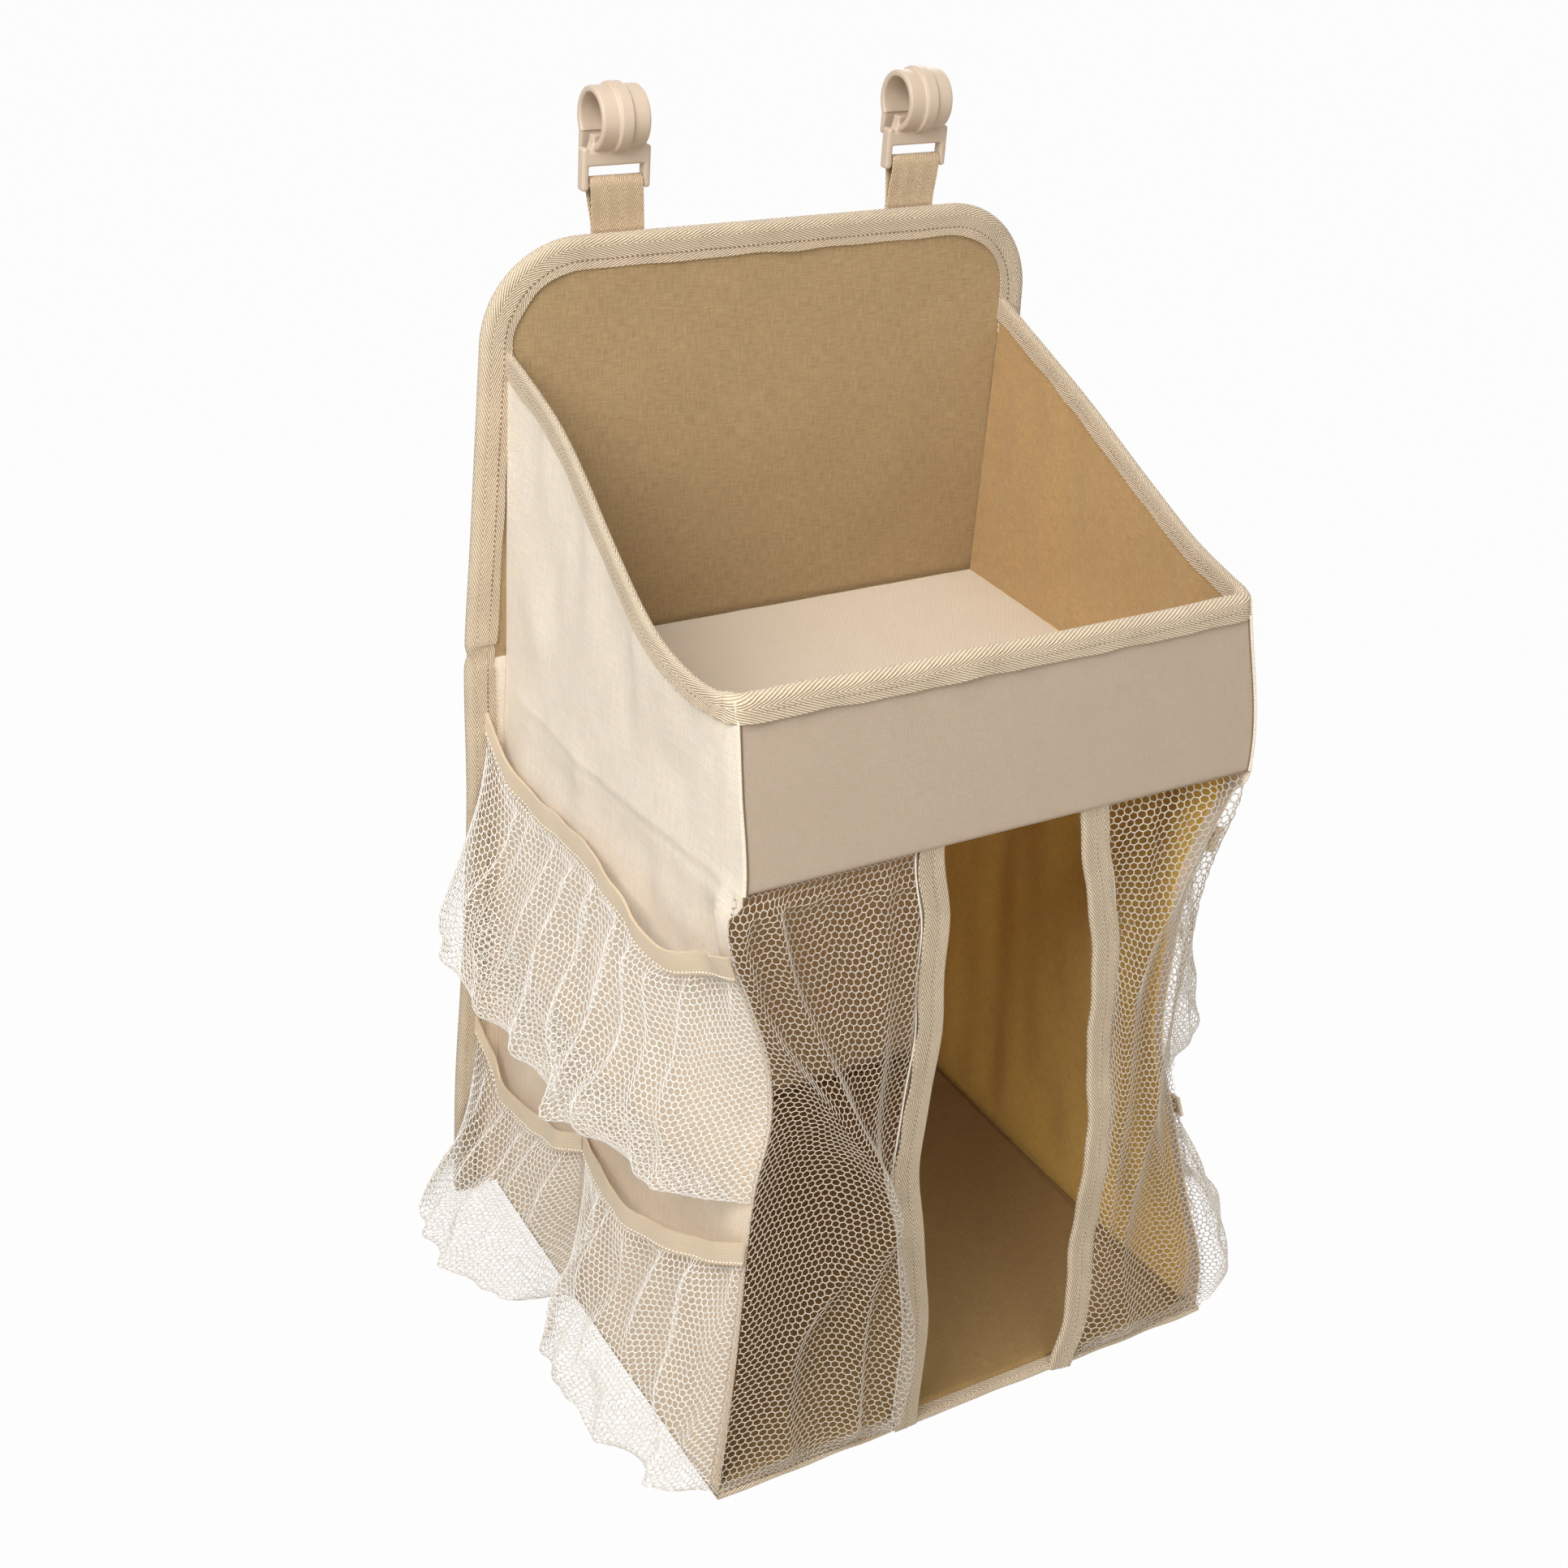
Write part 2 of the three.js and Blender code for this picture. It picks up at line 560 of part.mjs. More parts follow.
function makeCurtain(side, curtain) {
  const width = BODY_WIDTH / 2 - (curtain.top + curtain.foot) / 2;
  const place = (p, offset) => curtainPoint(side, curtain, p.x / width, p.y, offset);
  piece(`curtain_net_${side.name}`, thickSheet(netPatches(width), NET, place), 'net');

  // The tape is folded round the net's free edge: [across, from the opening; depth in y].
  const half = CURTAIN_TAPE_WIDTH / 2;
  const slot = NET / 2 + SEAT_GAP;
  const section = [
    [-half, slot + TAPE], [-half, -slot - TAPE], [half, -slot - TAPE], [half, -slot],
    [half - TAPE_LEG, -slot], [half - TAPE_LEG, slot], [half, slot], [half, slot + TAPE],
  ];
  const runs = [];
  for (let i = 0; i <= CURTAIN_TAPE_STEPS; i++) {
    const z = lerp(CURTAIN_FOOT, CURTAIN_TOP, i / CURTAIN_TAPE_STEPS);
    const x = tapeMiddle(curtain, z);
    const y = curtainPlane(z);
    runs.push(section.map(([a, depth]) => new THREE.Vector3(side.sign * (x + a), y + depth, z)));
  }
  piece(`curtain_tape_${side.name}`, loft(runs, section.map(([a, d]) => new THREE.Vector2(a, d))), 'tape');
}

// Pockets. Along a pocket, share 0 is at its rear end and 1 at its front end.
const POCKET_FULLNESS = 0.6;
function makePocket(side, name, pocket, rearY, frontY) {
  const bandTop = (share) => (
    lerp(pocket.top, pocket.frontTop, share) - pocket.dip * Math.sin(Math.PI * share)
  );
  const swell = (share) => Math.sin(Math.PI * share) ** POCKET_FULLNESS;
  const place = (share, z, out) => {
    const y = lerp(rearY, frontY(z), share);
    return new THREE.Vector3(side.sign * (sideReach(side.sign, y, z) + out), y, z);
  };
  const netAt = (thickness) => (i, j) => {
    const share = i / POCKET_COLUMNS;
    const up = j / POCKET_ROWS;
    const z = lerp(pocket.foot, bandTop(share) - BAND_HEIGHT - SEAT_GAP, up);
    const belly = pocket.bulge * Math.sin(Math.PI * up ** POCKET_FULLNESS);
    const out = POCKET_SEAT_GAP + swell(share) * (belly + pocket.mouth * up);
    return place(share, z, out + thickness);
  };
  const bandAt = (thickness) => (i, j) => {
    const share = i / POCKET_COLUMNS;
    const out = POCKET_SEAT_GAP + swell(share) * pocket.mouth;
    return place(share, bandTop(share) - BAND_HEIGHT * (1 - j), out + thickness);
  };
  piece(`${name}_net_${side.name}`, plateBetween(POCKET_COLUMNS, POCKET_ROWS, netAt(NET), netAt(0)), 'net');
  piece(`${name}_band_${side.name}`, plateBetween(POCKET_COLUMNS, 1, bandAt(BAND), bandAt(0)), 'elastic');
}

function makePockets(side) {
  const front = (z) => sideFrontY(z) + POCKET_EDGE;
  const rear = { ...LOWER_POCKET, frontTop: LOWER_POCKET.top };
  const halfSeam = POCKET_DIVIDER_SEAM / 2;
  makePocket(side, 'upper_pocket', UPPER_POCKET, REAR_EDGE, front);
  makePocket(side, 'rear_pocket', rear, REAR_EDGE, () => -POCKET_DIVIDER + halfSeam);
  makePocket(side, 'front_pocket', LOWER_POCKET, -POCKET_DIVIDER - halfSeam, front);
}

// Straps: a webbing loop over the hook's bar, and its sewn tail behind the back panel.
function makeStrap({ name, sign }) {
  const tangent = (big, small, span) => Math.acos((big - small) / span);
  const drop = (radius, endRadius, span) => {
    const shape = new THREE.Shape();
    const lean = tangent(radius, endRadius, span);
    shape.absarc(0, span, radius, lean - Math.PI / 2, 1.5 * Math.PI - lean, false);
    shape.absarc(0, 0, endRadius, 1.5 * Math.PI - lean, lean - Math.PI / 2, false);
    return shape;
  };
  const outline = drop(LOOP_OUTER, WEBBING, STRAP_RISE);
  const bore = drop(LOOP_BORE, SEAT_GAP, STRAP_RISE - STRAP_FORK);
  const loop = solid(acrossX(outline, WEBBING_WIDTH, LOOP_SEGMENTS));
  const eye = acrossX(bore, WEBBING_WIDTH + 2 * CUT_EXCESS, LOOP_SEGMENTS);
  eye.translate(0, 0, STRAP_FORK);
  const webbing = geometryOf(loop.subtract(solid(eye)));
  const x = (sign * HOOK_SPACING) / 2;
  piece(`strap_loop_${name}`, webbing, 'webbing').position.set(x, STRAP_PLANE, STRAP_PIVOT);
  const top = STRAP_PIVOT - WEBBING - SEAT_GAP;
  const low = [x - WEBBING_WIDTH / 2, STRAP_PLANE - WEBBING, top - STRAP_TAIL];
  const high = [x + WEBBING_WIDTH / 2, STRAP_PLANE + WEBBING, top];
  piece(`strap_tail_${name}`, boxBetween(low, high), 'webbing');
}

// Hooks, each drawn round the rail's axis and seen from its end: 0 degrees is behind the rail.
function ringSector(inner, outer, from, to) {
  const shape = new THREE.Shape();
  shape.absarc(0, 0, outer, THREE.MathUtils.degToRad(from), THREE.MathUtils.degToRad(to), false);
  shape.absarc(0, 0, inner, THREE.MathUtils.degToRad(to), THREE.MathUtils.degToRad(from), true);
  return shape;
}

// The ring ends over the middle of the frame that it stands on.
function hookRing() {
  const foot = 270 - THREE.MathUtils.radToDeg(Math.asin(FRAME_OFFSET / HOOK_BORE_RADIUS));
  const round = ringSector(HOOK_BORE_RADIUS, HOOK_OUTER, HOOK_LIP_ANGLE, foot);
  const ribInner = HOOK_OUTER - HOOK_OVERLAP;
  const ribOuter = HOOK_OUTER + HOOK_RIB_HEIGHT;
  const rib = ringSector(ribInner, ribOuter, HOOK_RIB.from, HOOK_RIB.to);
  const band = solid(acrossX(round, HOOK_WIDTH, RING_SEGMENTS));
  return band.add(solid(acrossX(rib, HOOK_RIB_WIDTH, RIB_SEGMENTS)));
}

// The lip that the rail passes on its way in: it hangs from the end of the ring, behind the frame.
function hookLip(near) {
  const top = HOOK_BORE_RADIUS * Math.sin(THREE.MathUtils.degToRad(HOOK_LIP_ANGLE));
  const low = [-HOOK_WIDTH / 2, near, top - HOOK_LIP_LENGTH];
  const high = [HOOK_WIDTH / 2, near + HOOK_LIP, top];
  return solid(boxBetween(low, high));
}

function makeHook({ name, sign }) {
  const frameRear = -FRAME_OFFSET + FRAME_DEPTH / 2;
  const slotHalf = WEBBING_WIDTH / 2 + FRAME_SIDE_PLAY;
  const frameHalf = slotHalf + FRAME_ARM;
  const top = -HOOK_OUTER + HOOK_OVERLAP;
  const slotTop = -BAR_DROP + SLOT_TOP;
  const foot = -BAR_DROP - BAR_RADIUS;
  const r = FRAME_CORNER_RADIUS;
  const frame = new THREE.Shape();
  frame.moveTo(frameHalf, foot);
  frame.lineTo(frameHalf, top - r);
  frame.absarc(frameHalf - r, top - r, r, 0, Math.PI / 2, false);
  frame.lineTo(-frameHalf + r, top);
  frame.absarc(-frameHalf + r, top - r, r, Math.PI / 2, Math.PI, false);
  frame.lineTo(-frameHalf, foot);
  frame.lineTo(-slotHalf, foot);
  frame.lineTo(-slotHalf, slotTop);
  frame.lineTo(slotHalf, slotTop);
  frame.lineTo(slotHalf, foot);
  frame.closePath();
  const extrusion = { depth: FRAME_DEPTH, bevelEnabled: false, curveSegments: FRAME_CORNER_SEGMENTS };
  const frameShape = new THREE.ExtrudeGeometry(frame, extrusion);
  frameShape.rotateX(Math.PI / 2);
  frameShape.translate(0, frameRear, 0);
  const bar = new THREE.CylinderGeometry(BAR_RADIUS, BAR_RADIUS, 2 * slotHalf + FRAME_ARM, BAR_SIDES);
  bar.rotateZ(Math.PI / 2);
  bar.translate(0, -FRAME_OFFSET, -BAR_DROP);
  const boreLength = 2 * (frameHalf + CUT_EXCESS);
  const bore = new THREE.CylinderGeometry(HOOK_BORE_RADIUS, HOOK_BORE_RADIUS, boreLength, BORE_SIDES);
  bore.rotateZ(Math.PI / 2);
  const frameAndLip = solid(frameShape).add(hookLip(frameRear + HOOK_MOUTH)).subtract(solid(bore));
  const moulded = hookRing().add(frameAndLip).add(solid(bar));
  const hook = piece(`hook_${name}`, geometryOf(moulded), 'plastic');
  hook.position.set((sign * HOOK_SPACING) / 2, RAIL_SETBACK, RAIL_HEIGHT);
}

makeBackPanel();
makeStiffParts();
makeRimBinding();
for (const side of SIDES) {
  makeSidePanel(side);
  makeCurtain(side, side.sign < 0 ? LEFT_CURTAIN : RIGHT_CURTAIN);
  makePockets(side);
  makeStrap(side);
  makeHook(side);
}

const group = new THREE.Group();
group.add(caddy);
export default group;
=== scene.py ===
"""The looks of a hanging cotton caddy: cloth over boards, herringbone tapes, net curtains and pockets,
webbing straps and moulded clip hooks. Metres, in the frame's own axes: x along the rail, +y away from
the user, +z up. Pieces are drawn in the caddy's frame, whose zero is the face of the back panel at the
underside of the base, and are then moved to the frame's place for it."""

import json

import bmesh
import bpy
import numpy as np
from mathutils import Matrix, Vector


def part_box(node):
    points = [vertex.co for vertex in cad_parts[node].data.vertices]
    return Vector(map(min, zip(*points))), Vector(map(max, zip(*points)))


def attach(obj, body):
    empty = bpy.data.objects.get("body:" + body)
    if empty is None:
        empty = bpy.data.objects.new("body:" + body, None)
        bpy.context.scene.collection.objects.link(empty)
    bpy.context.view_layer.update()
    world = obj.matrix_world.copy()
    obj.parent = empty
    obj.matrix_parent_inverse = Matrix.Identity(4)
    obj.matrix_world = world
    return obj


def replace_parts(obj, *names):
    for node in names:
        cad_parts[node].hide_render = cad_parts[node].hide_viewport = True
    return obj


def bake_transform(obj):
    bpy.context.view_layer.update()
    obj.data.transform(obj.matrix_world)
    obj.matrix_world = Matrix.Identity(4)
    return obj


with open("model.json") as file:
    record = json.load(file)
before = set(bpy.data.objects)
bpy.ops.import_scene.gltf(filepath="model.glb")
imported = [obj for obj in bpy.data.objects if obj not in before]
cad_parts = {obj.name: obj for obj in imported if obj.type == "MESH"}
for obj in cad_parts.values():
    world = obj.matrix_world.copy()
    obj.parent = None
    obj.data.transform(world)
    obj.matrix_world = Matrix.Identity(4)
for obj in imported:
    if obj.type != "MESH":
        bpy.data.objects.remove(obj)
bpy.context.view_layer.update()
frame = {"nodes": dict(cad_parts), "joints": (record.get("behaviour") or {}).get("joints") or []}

bl_info = {
    "name": "Hanging caddy",
    "version": (1, 0, 0),
    "blender": (4, 5, 0),
    "location": "3D View > Sidebar > Caddy",
    "description": "Makes a hanging cotton caddy with net pockets around its frame",
    "category": "Object",
}

MM = 0.001

# Places and sizes that the frame gives, in the caddy's own frame
FACE_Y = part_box("back_cover_front")[0].y
BASE_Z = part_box("base_floor")[0].z
BODY_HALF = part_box("fascia_cover")[1].x
BASE_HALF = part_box("base_floor")[1].x
BASE_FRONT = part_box("base_floor")[0].y - FACE_Y
FLOOR_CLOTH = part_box("base_floor")[1].z - BASE_Z
SHELF_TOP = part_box("shelf_cover")[1].z - BASE_Z
SHELF_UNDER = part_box("shelf_cover")[0].z - BASE_Z
SHELF_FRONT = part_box("shelf_cover")[0].y - FACE_Y
FASCIA_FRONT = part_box("fascia_cover")[0].y - FACE_Y
WING_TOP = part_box("rim_binding")[1].z - BASE_Z
BACK_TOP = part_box("back_binding")[1].z - BASE_Z
HEM_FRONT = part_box("base_hem")[0].y - FACE_Y
HEM_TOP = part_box("base_hem")[1].z - BASE_Z
PANEL = SHELF_TOP - SHELF_UNDER
HOOK_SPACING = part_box("hook_right")[1].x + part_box("hook_right")[0].x
STRAP_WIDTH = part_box("strap_loop_right")[1].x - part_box("strap_loop_right")[0].x
STRAP_Y = (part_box("strap_loop_right")[1].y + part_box("strap_loop_right")[0].y) / 2
STRAP_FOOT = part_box("strap_tail_right")[0].z
STRAP_JOINT = [j for j in frame["joints"] if j["name"] == "strap_right_swing"][0]["pos_m"]
BAR_JOINT = [j for j in frame["joints"] if j["name"] == "hook_right_turn"][0]["pos_m"]

# Sizes that the frame has no box for
FASCIA_DROP = 2 * MM
FASCIA_HEIGHT = 76 * MM
FASCIA_SETBACK = 14 * MM
FASCIA_FOOT = SHELF_TOP - FASCIA_DROP
FASCIA_TOP = FASCIA_FOOT + FASCIA_HEIGHT
LEAN = FASCIA_SETBACK / FASCIA_HEIGHT
LEAN_COS = 1 / (1 + LEAN**2) ** 0.5
BACK_CORNER = 44 * MM
CLOTH = 0.8 * MM
SIDE_CLOTH = 1.6 * MM
SEAT = 0.3 * MM
REAR_EDGE = -0.4 * MM
LEFT, RIGHT = -1, 1
SIDES = {LEFT: "left", RIGHT: "right"}


def through(points):
    """A smooth curve through (place, value) points in millimetres, as a function of the place in metres."""
    place, value = np.array(sorted(points), float).T * MM
    slope = np.gradient(value, place)

    def curve(at):
        at = np.clip(at, place[0], place[-1])
        k = np.clip(np.searchsorted(place, at, side="right") - 1, 0, len(place) - 2)
        span = place[k + 1] - place[k]
        t = (at - place[k]) / span
        start = value[k] * (1 + 2 * t) * (1 - t) ** 2 + span * slope[k] * t * (1 - t) ** 2
        return start + value[k + 1] * t**2 * (3 - 2 * t) + span * slope[k + 1] * t**2 * (t - 1)

    return curve


# Outlines read off the object: (height, distance from the middle) or (height, place along x)
BACK_EDGE = through([(0, 151), (70, 149.5), (130, 146), (225, 142.5), (299, 143), (352, 140), (437, 135.5)])
FRONT_EDGE = {
    LEFT: through([
        (0, 127), (22, 124.5), (56, 121), (100, 117.5), (131, 115.5), (160, 112), (184, 106.5),
        (212, 107.5), (247, 118), (267, 125), (282, 127.5), (297, 125), (340, 125), (450, 125),
    ]),
    RIGHT: through([
        (0, 138), (26, 137), (72, 123), (122, 108), (168, 95), (208, 95), (246, 100), (266, 107),
        (285, 116), (297, 119.3), (373, 115.5), (450, 114),
    ]),
}
TAPE_LINE = {
    LEFT: through([(3, 33), (47, 30), (87, 34), (146, 40), (199, 36.5), (258, 36), (296, 39.5)]),
    RIGHT: through([(2, 54), (28, 59), (75, 60.5), (120, 60), (180, 58), (230, 53), (296, 39)]),
}
# Height of the rim above a straight line from the back panel to the fascia: (share x 1000, height)
RIM_RISE = {
    LEFT: through([(0, 0), (300, 4), (580, -4), (790, -10), (930, -6), (1000, 0)]),
    RIGHT: through([(0, 0), (380, -3), (630, -8), (780, -9), (900, -5), (1000, 0)]),
}
# How far each wing swells outwards at most
WING_BULGE = {LEFT: 8 * MM, RIGHT: 3 * MM}

# Pockets, with their ends in mm and their front at the panel's edge where it is None: (depth, height of
# the band's top), (depth, how far the band stands off) and (depth, belly). "low" sets how low the belly
# hangs, and "height" is about where the pocket lies.
UPPER_POCKET = {
    "name": "upper_pocket",
    "height": 200 * MM,
    "rear": -0.5,
    "front": None,
    "band": through([
        (-1, 272), (-12, 257), (-28, 250), (-60, 250), (-100, 254), (-130, 254), (-150, 250),
        (-172, 249), (-195, 260), (-218, 271),
    ]),
    "stand": through([
        (-1, 8), (-16, 4), (-60, 3), (-100, 5), (-135, 10), (-165, 10), (-195, 5), (-218, 1),
    ]),
    "belly": {
        LEFT: through([
            (0, 8), (-7, 28), (-20, 35), (-60, 33), (-120, 29), (-170, 26), (-205, 16), (-219, 1),
        ]),
        RIGHT: through([(0, 8), (-10, 26), (-40, 32), (-110, 33), (-160, 32), (-200, 25), (-219, 4)]),
    },
    "sag": 3 * MM,
    "foot": through([(0, 164), (-20, 157), (-60, 147), (-117, 144), (-170, 144), (-220, 150)]),
    "low": 0.56,
    "folds": 11,
}
REAR_POCKET = {
    "name": "rear_pocket",
    "height": 60 * MM,
    "rear": -0.5,
    "front": -99.5,
    "band": through([(-1, 108), (-6, 94), (-14, 83), (-35, 80), (-60, 86), (-80, 93), (-100, 103)]),
    "stand": through([(-1, 11), (-8, 6), (-20, 5), (-60, 5), (-85, 4), (-100, 1)]),
    "belly": {
        LEFT: through([(0, 12), (-7, 33), (-22, 43), (-50, 45), (-78, 36), (-92, 20), (-100, 2)]),
        RIGHT: through([(0, 10), (-10, 30), (-40, 38), (-75, 34), (-92, 18), (-100, 2)]),
    },
    "sag": 4 * MM,
    "foot": through([(0, 5), (-100, 5)]),
    "low": 0.46,
    "folds": 5,
}
FRONT_POCKET = {
    "name": "front_pocket",
    "height": 60 * MM,
    "rear": -100.5,
    "front": None,
    "band": through([(-100, 103), (-128, 103), (-156, 106), (-188, 115), (-208, 123), (-229, 135)]),
    "stand": through([(-100, 1), (-120, 7), (-150, 11), (-185, 9), (-208, 5), (-229, 1)]),
    "belly": {
        LEFT: through([(-100, 2), (-108, 14), (-125, 26), (-160, 31), (-200, 26), (-220, 16), (-233, 1)]),
        RIGHT: through([(-100, 2), (-110, 22), (-140, 34), (-180, 38), (-210, 34), (-224, 22), (-234, 1)]),
    },
    "sag": 4 * MM,
    "foot": through([(-100, 5), (-232, 5)]),
    "low": 0.46,
    "folds": 7,
}
BAND_HEIGHT = 11 * MM
BAND_THICKNESS = 1.2 * MM

# Folds of the curtains: the line of each crest as (height, place along x), its height and half width in mm
CURTAIN_FOLDS = {
    LEFT: [
        (through([
            (290, 131), (276, 132), (264, 128), (242, 120), (216, 104), (192, 88), (170, 75), (129, 60),
            (98, 52), (70, 47), (4, 50),
        ]), 12, 7),
        (through([
            (288, 114), (258, 106), (234, 97), (218, 90), (198, 82), (164, 70), (120, 64), (60, 66), (4, 66),
        ]), 8, 5),
        (through([(130, 62), (102, 75), (76, 94), (48, 98), (4, 97)]), 5, 7),
        (through([(290, 122), (284, 60), (270, 45)]), 3, 7),
    ],
    RIGHT: [
        (through([(299, 104), (269, 95), (245, 81), (205, 67), (150, 63), (4, 62)]), 9, 7),
        (through([(290, 118), (220, 96), (150, 88), (111, 85), (60, 82), (4, 90)]), 8, 9),
        (through([(160, 84), (100, 100), (40, 118), (4, 124)]), 5, 7),
        (through([(120, 70), (60, 72), (4, 78)]), 4, 5),
    ],
}


def size_property(name, description, default, precision=4):
    return bpy.props.FloatProperty(
        name=name, description=description, default=default, unit="LENGTH", precision=precision)


def colour_property(name, description, default):
    return bpy.props.FloatVectorProperty(name=name, description=description, default=default, subtype="COLOR")


class ClothSizes(bpy.types.PropertyGroup):
    wrinkle: size_property("Wrinkle depth", "How far the side panels' soft creases reach", 2.2 * MM)
    thread: size_property("Thread pitch", "Distance between two threads of the canvas", 0.5 * MM, 5)
    tape: size_property("Tape thickness", "Thickness of the herringbone tape", 1.0 * MM)
    tape_leg: size_property("Tape leg", "How far the folded tape reaches down each face", 10 * MM)
    stitch: size_property("Stitch pitch", "Distance between two stitches", 2.3 * MM)
    stitch_width: size_property("Stitch width", "Thickness of the sewing thread", 0.55 * MM, 5)


class NetSizes(bpy.types.PropertyGroup):
    pitch: size_property("Mesh pitch", "Distance between two gaps in a row of the net", 3.1 * MM)
    row: size_property("Row pitch", "Distance between two rows of gaps", 3.05 * MM)
    strand: size_property("Strand width", "Width of the yarn between two gaps", 0.54 * MM)
    thickness: size_property("Strand thickness", "Thickness of the yarn", 0.5 * MM)


class FinishColours(bpy.types.PropertyGroup):
    canvas: colour_property("Canvas", "Cotton of the sides and the rear", (0.92, 0.795, 0.69))
    lining: colour_property("Lining", "Tan cotton inside", (0.44, 0.315, 0.165))
    # Ochre lining inside below the shelf; its brightness and saturation are partly painted light, standing
    # for light shining through the thin side cloth
    inside: colour_property("Inside", "Ochre cotton below the shelf", (0.93, 0.57, 0.135))
    # The fascia's cotton is darker than the canvas partly as painted shade of its front face
    fascia: colour_property("Fascia", "Greige cotton of the fascia", (0.50, 0.41, 0.325))
    shelf: colour_property("Shelf", "Cotton of the shelf", (0.77, 0.67, 0.55))
    tape: colour_property("Tape", "Herringbone tape", (0.76, 0.63, 0.465))
    net: colour_property("Net", "Yarn of the pockets' nets", (0.96, 0.94, 0.92))
    # The curtains' yarn is the pockets' white yarn made darker: painted shade over the curtains
    front_net: colour_property("Front net", "Yarn of the net curtains", (0.60, 0.54, 0.47))
    elastic: colour_property("Elastic", "Elastic bands", (0.70, 0.58, 0.43))
    webbing: colour_property("Webbing", "Webbing of the straps", (0.66, 0.505, 0.335))
    plastic: colour_property("Plastic", "Moulded hooks", (0.57, 0.47, 0.38))
    board: colour_property("Board", "Fibreboard inside the cloth", (0.33, 0.23, 0.13))
    thread: colour_property("Thread", "Sewing thread", (0.92, 0.86, 0.77))
    # Dark thread: the stitches in the tapes are real, and their dark colour is painted shade in the stitch
    # holes; the dark cord at the fascia's corners is painted shadow of the gap there
    seam: colour_property("Seam", "Stitches sunk into the tape", (0.22, 0.14, 0.08))


def cloth_sizes():
    return bpy.context.scene.caddy_cloth


def net_sizes():
    return bpy.context.scene.caddy_net


# Node trees
def node(tree, kind, inputs=None, **settings):
    """A node of the tree with its settings, and its inputs by name or number, each set to a value or
    linked to a socket or to the first output of a node."""
    made = tree.nodes.new(kind)
    for name, value in settings.items():
        setattr(made, name, value)
    for key, value in (inputs or {}).items():
        if isinstance(value, bpy.types.Node):
            value = value.outputs[0]
        if isinstance(value, bpy.types.NodeSocket):
            tree.links.new(value, made.inputs[key])
        else:
            made.inputs[key].default_value = value
    return made


def maths(tree, operation, *values):
    return node(tree, "ShaderNodeMath", dict(enumerate(values)), operation=operation)


def add(tree, one, other):
    return maths(tree, "ADD", one, other)


def subtract(tree, one, other):
    return maths(tree, "SUBTRACT", one, other)


def multiply(tree, one, other):
    return maths(tree, "MULTIPLY", one, other)


def weighted(tree, one, share, other, other_share):
    """The sum of two values, each times its share."""
    return add(tree, multiply(tree, one, share), multiply(tree, other, other_share))


def ridges(tree, place):
    """Round ridges, 0 to 1, one for each half turn of the place."""
    return maths(tree, "ABSOLUTE", maths(tree, "SINE", place))


def object_noise(tree, scale, detail=2.0):
    place = node(tree, "ShaderNodeTexCoord").outputs["Object"]
    return node(tree, "ShaderNodeTexNoise", {"Vector": place, "Scale": scale, "Detail": detail})


def mixed(tree, factor, one, other, **settings):
    """One colour where the factor is 0 and the other where it is 1."""
    made = node(tree, "ShaderNodeMix", {0: factor, 6: one, 7: other}, data_type="RGBA", **settings)
    return made.outputs[2]


def new_material(name, colour, roughness, sheen=0.0, specular=0.25):
    """A material with a principled shader, and the tree and shader that its detail goes into."""
    material = bpy.data.materials.new(name + "_finish")
    material.use_nodes = True
    material.diffuse_color = (*colour, 1)
    tree = material.node_tree
    shader = tree.nodes["Principled BSDF"]
    values = {"Base Color": (*colour, 1), "Roughness": roughness, "Sheen Weight": sheen,
              "Sheen Roughness": 0.6, "Specular IOR Level": specular}
    for key, value in values.items():
        shader.inputs[key].default_value = value
    return material, tree, shader


def shade(tree, colour, dark, light, factor):
    """The colour, darker and a little warmer where the factor is 0 and lighter where it is 1."""
    low = (colour[0] * dark, colour[1] * dark * 0.97, colour[2] * dark * 0.9, 1)
    high = (*[min(c * light, 1) for c in colour], 1)
    return mixed(tree, factor, low, high)


def paint(tree, shader, colour, dark, light, factor):
    tree.links.new(shade(tree, colour, dark, light, factor), shader.inputs["Base Color"])


def add_bump(tree, shader, height, distance):
    bump = node(tree, "ShaderNodeBump", {"Height": height, "Distance": distance, "Strength": 1.0})
    tree.links.new(bump.outputs[0], shader.inputs["Normal"])


def cloth_axes(tree, across=1.0, along=1.0):
    """The cloth's own two directions in metres, from its UV map, each multiplied by a factor."""
    place = node(tree, "ShaderNodeUVMap", uv_map="Cloth")
    split = node(tree, "ShaderNodeSeparateXYZ", {0: place})
    return multiply(tree, split.outputs[0], across), multiply(tree, split.outputs[1], along)


def streaks(tree, across, along, detail=3.0):
    """Noise over the cloth with its own scale in each of the cloth's directions, about 0 to 1."""
    u, v = cloth_axes(tree, across, along)
    place = node(tree, "ShaderNodeCombineXYZ", {0: u, 1: v})
    return node(tree, "ShaderNodeTexNoise", {"Vector": place, "Scale": 1.0, "Detail": detail})


# Heights in the part's frame between which the painted shade at the foot fades out
PAINTED_SHADE_HEIGHTS = (-0.42, -0.24)


# Painted shade: the colour is multiplied by the tint at the bottom of the part and fades back to itself
# higher up
def painted_shade_at_foot(tree, colour, shade_tint):
    place = node(tree, "ShaderNodeTexCoord").outputs["Object"]
    rise = node(tree, "ShaderNodeSeparateXYZ", {0: place}).outputs["Z"]
    share = node(tree, "ShaderNodeMapRange", {0: rise, 1: PAINTED_SHADE_HEIGHTS[0], 2: PAINTED_SHADE_HEIGHTS[1], 3: 0.0, 4: 1.0})
    deeper = mixed(tree, 1.0, colour, (*shade_tint, 1), blend_type="MULTIPLY")
    return mixed(tree, share, deeper, colour)


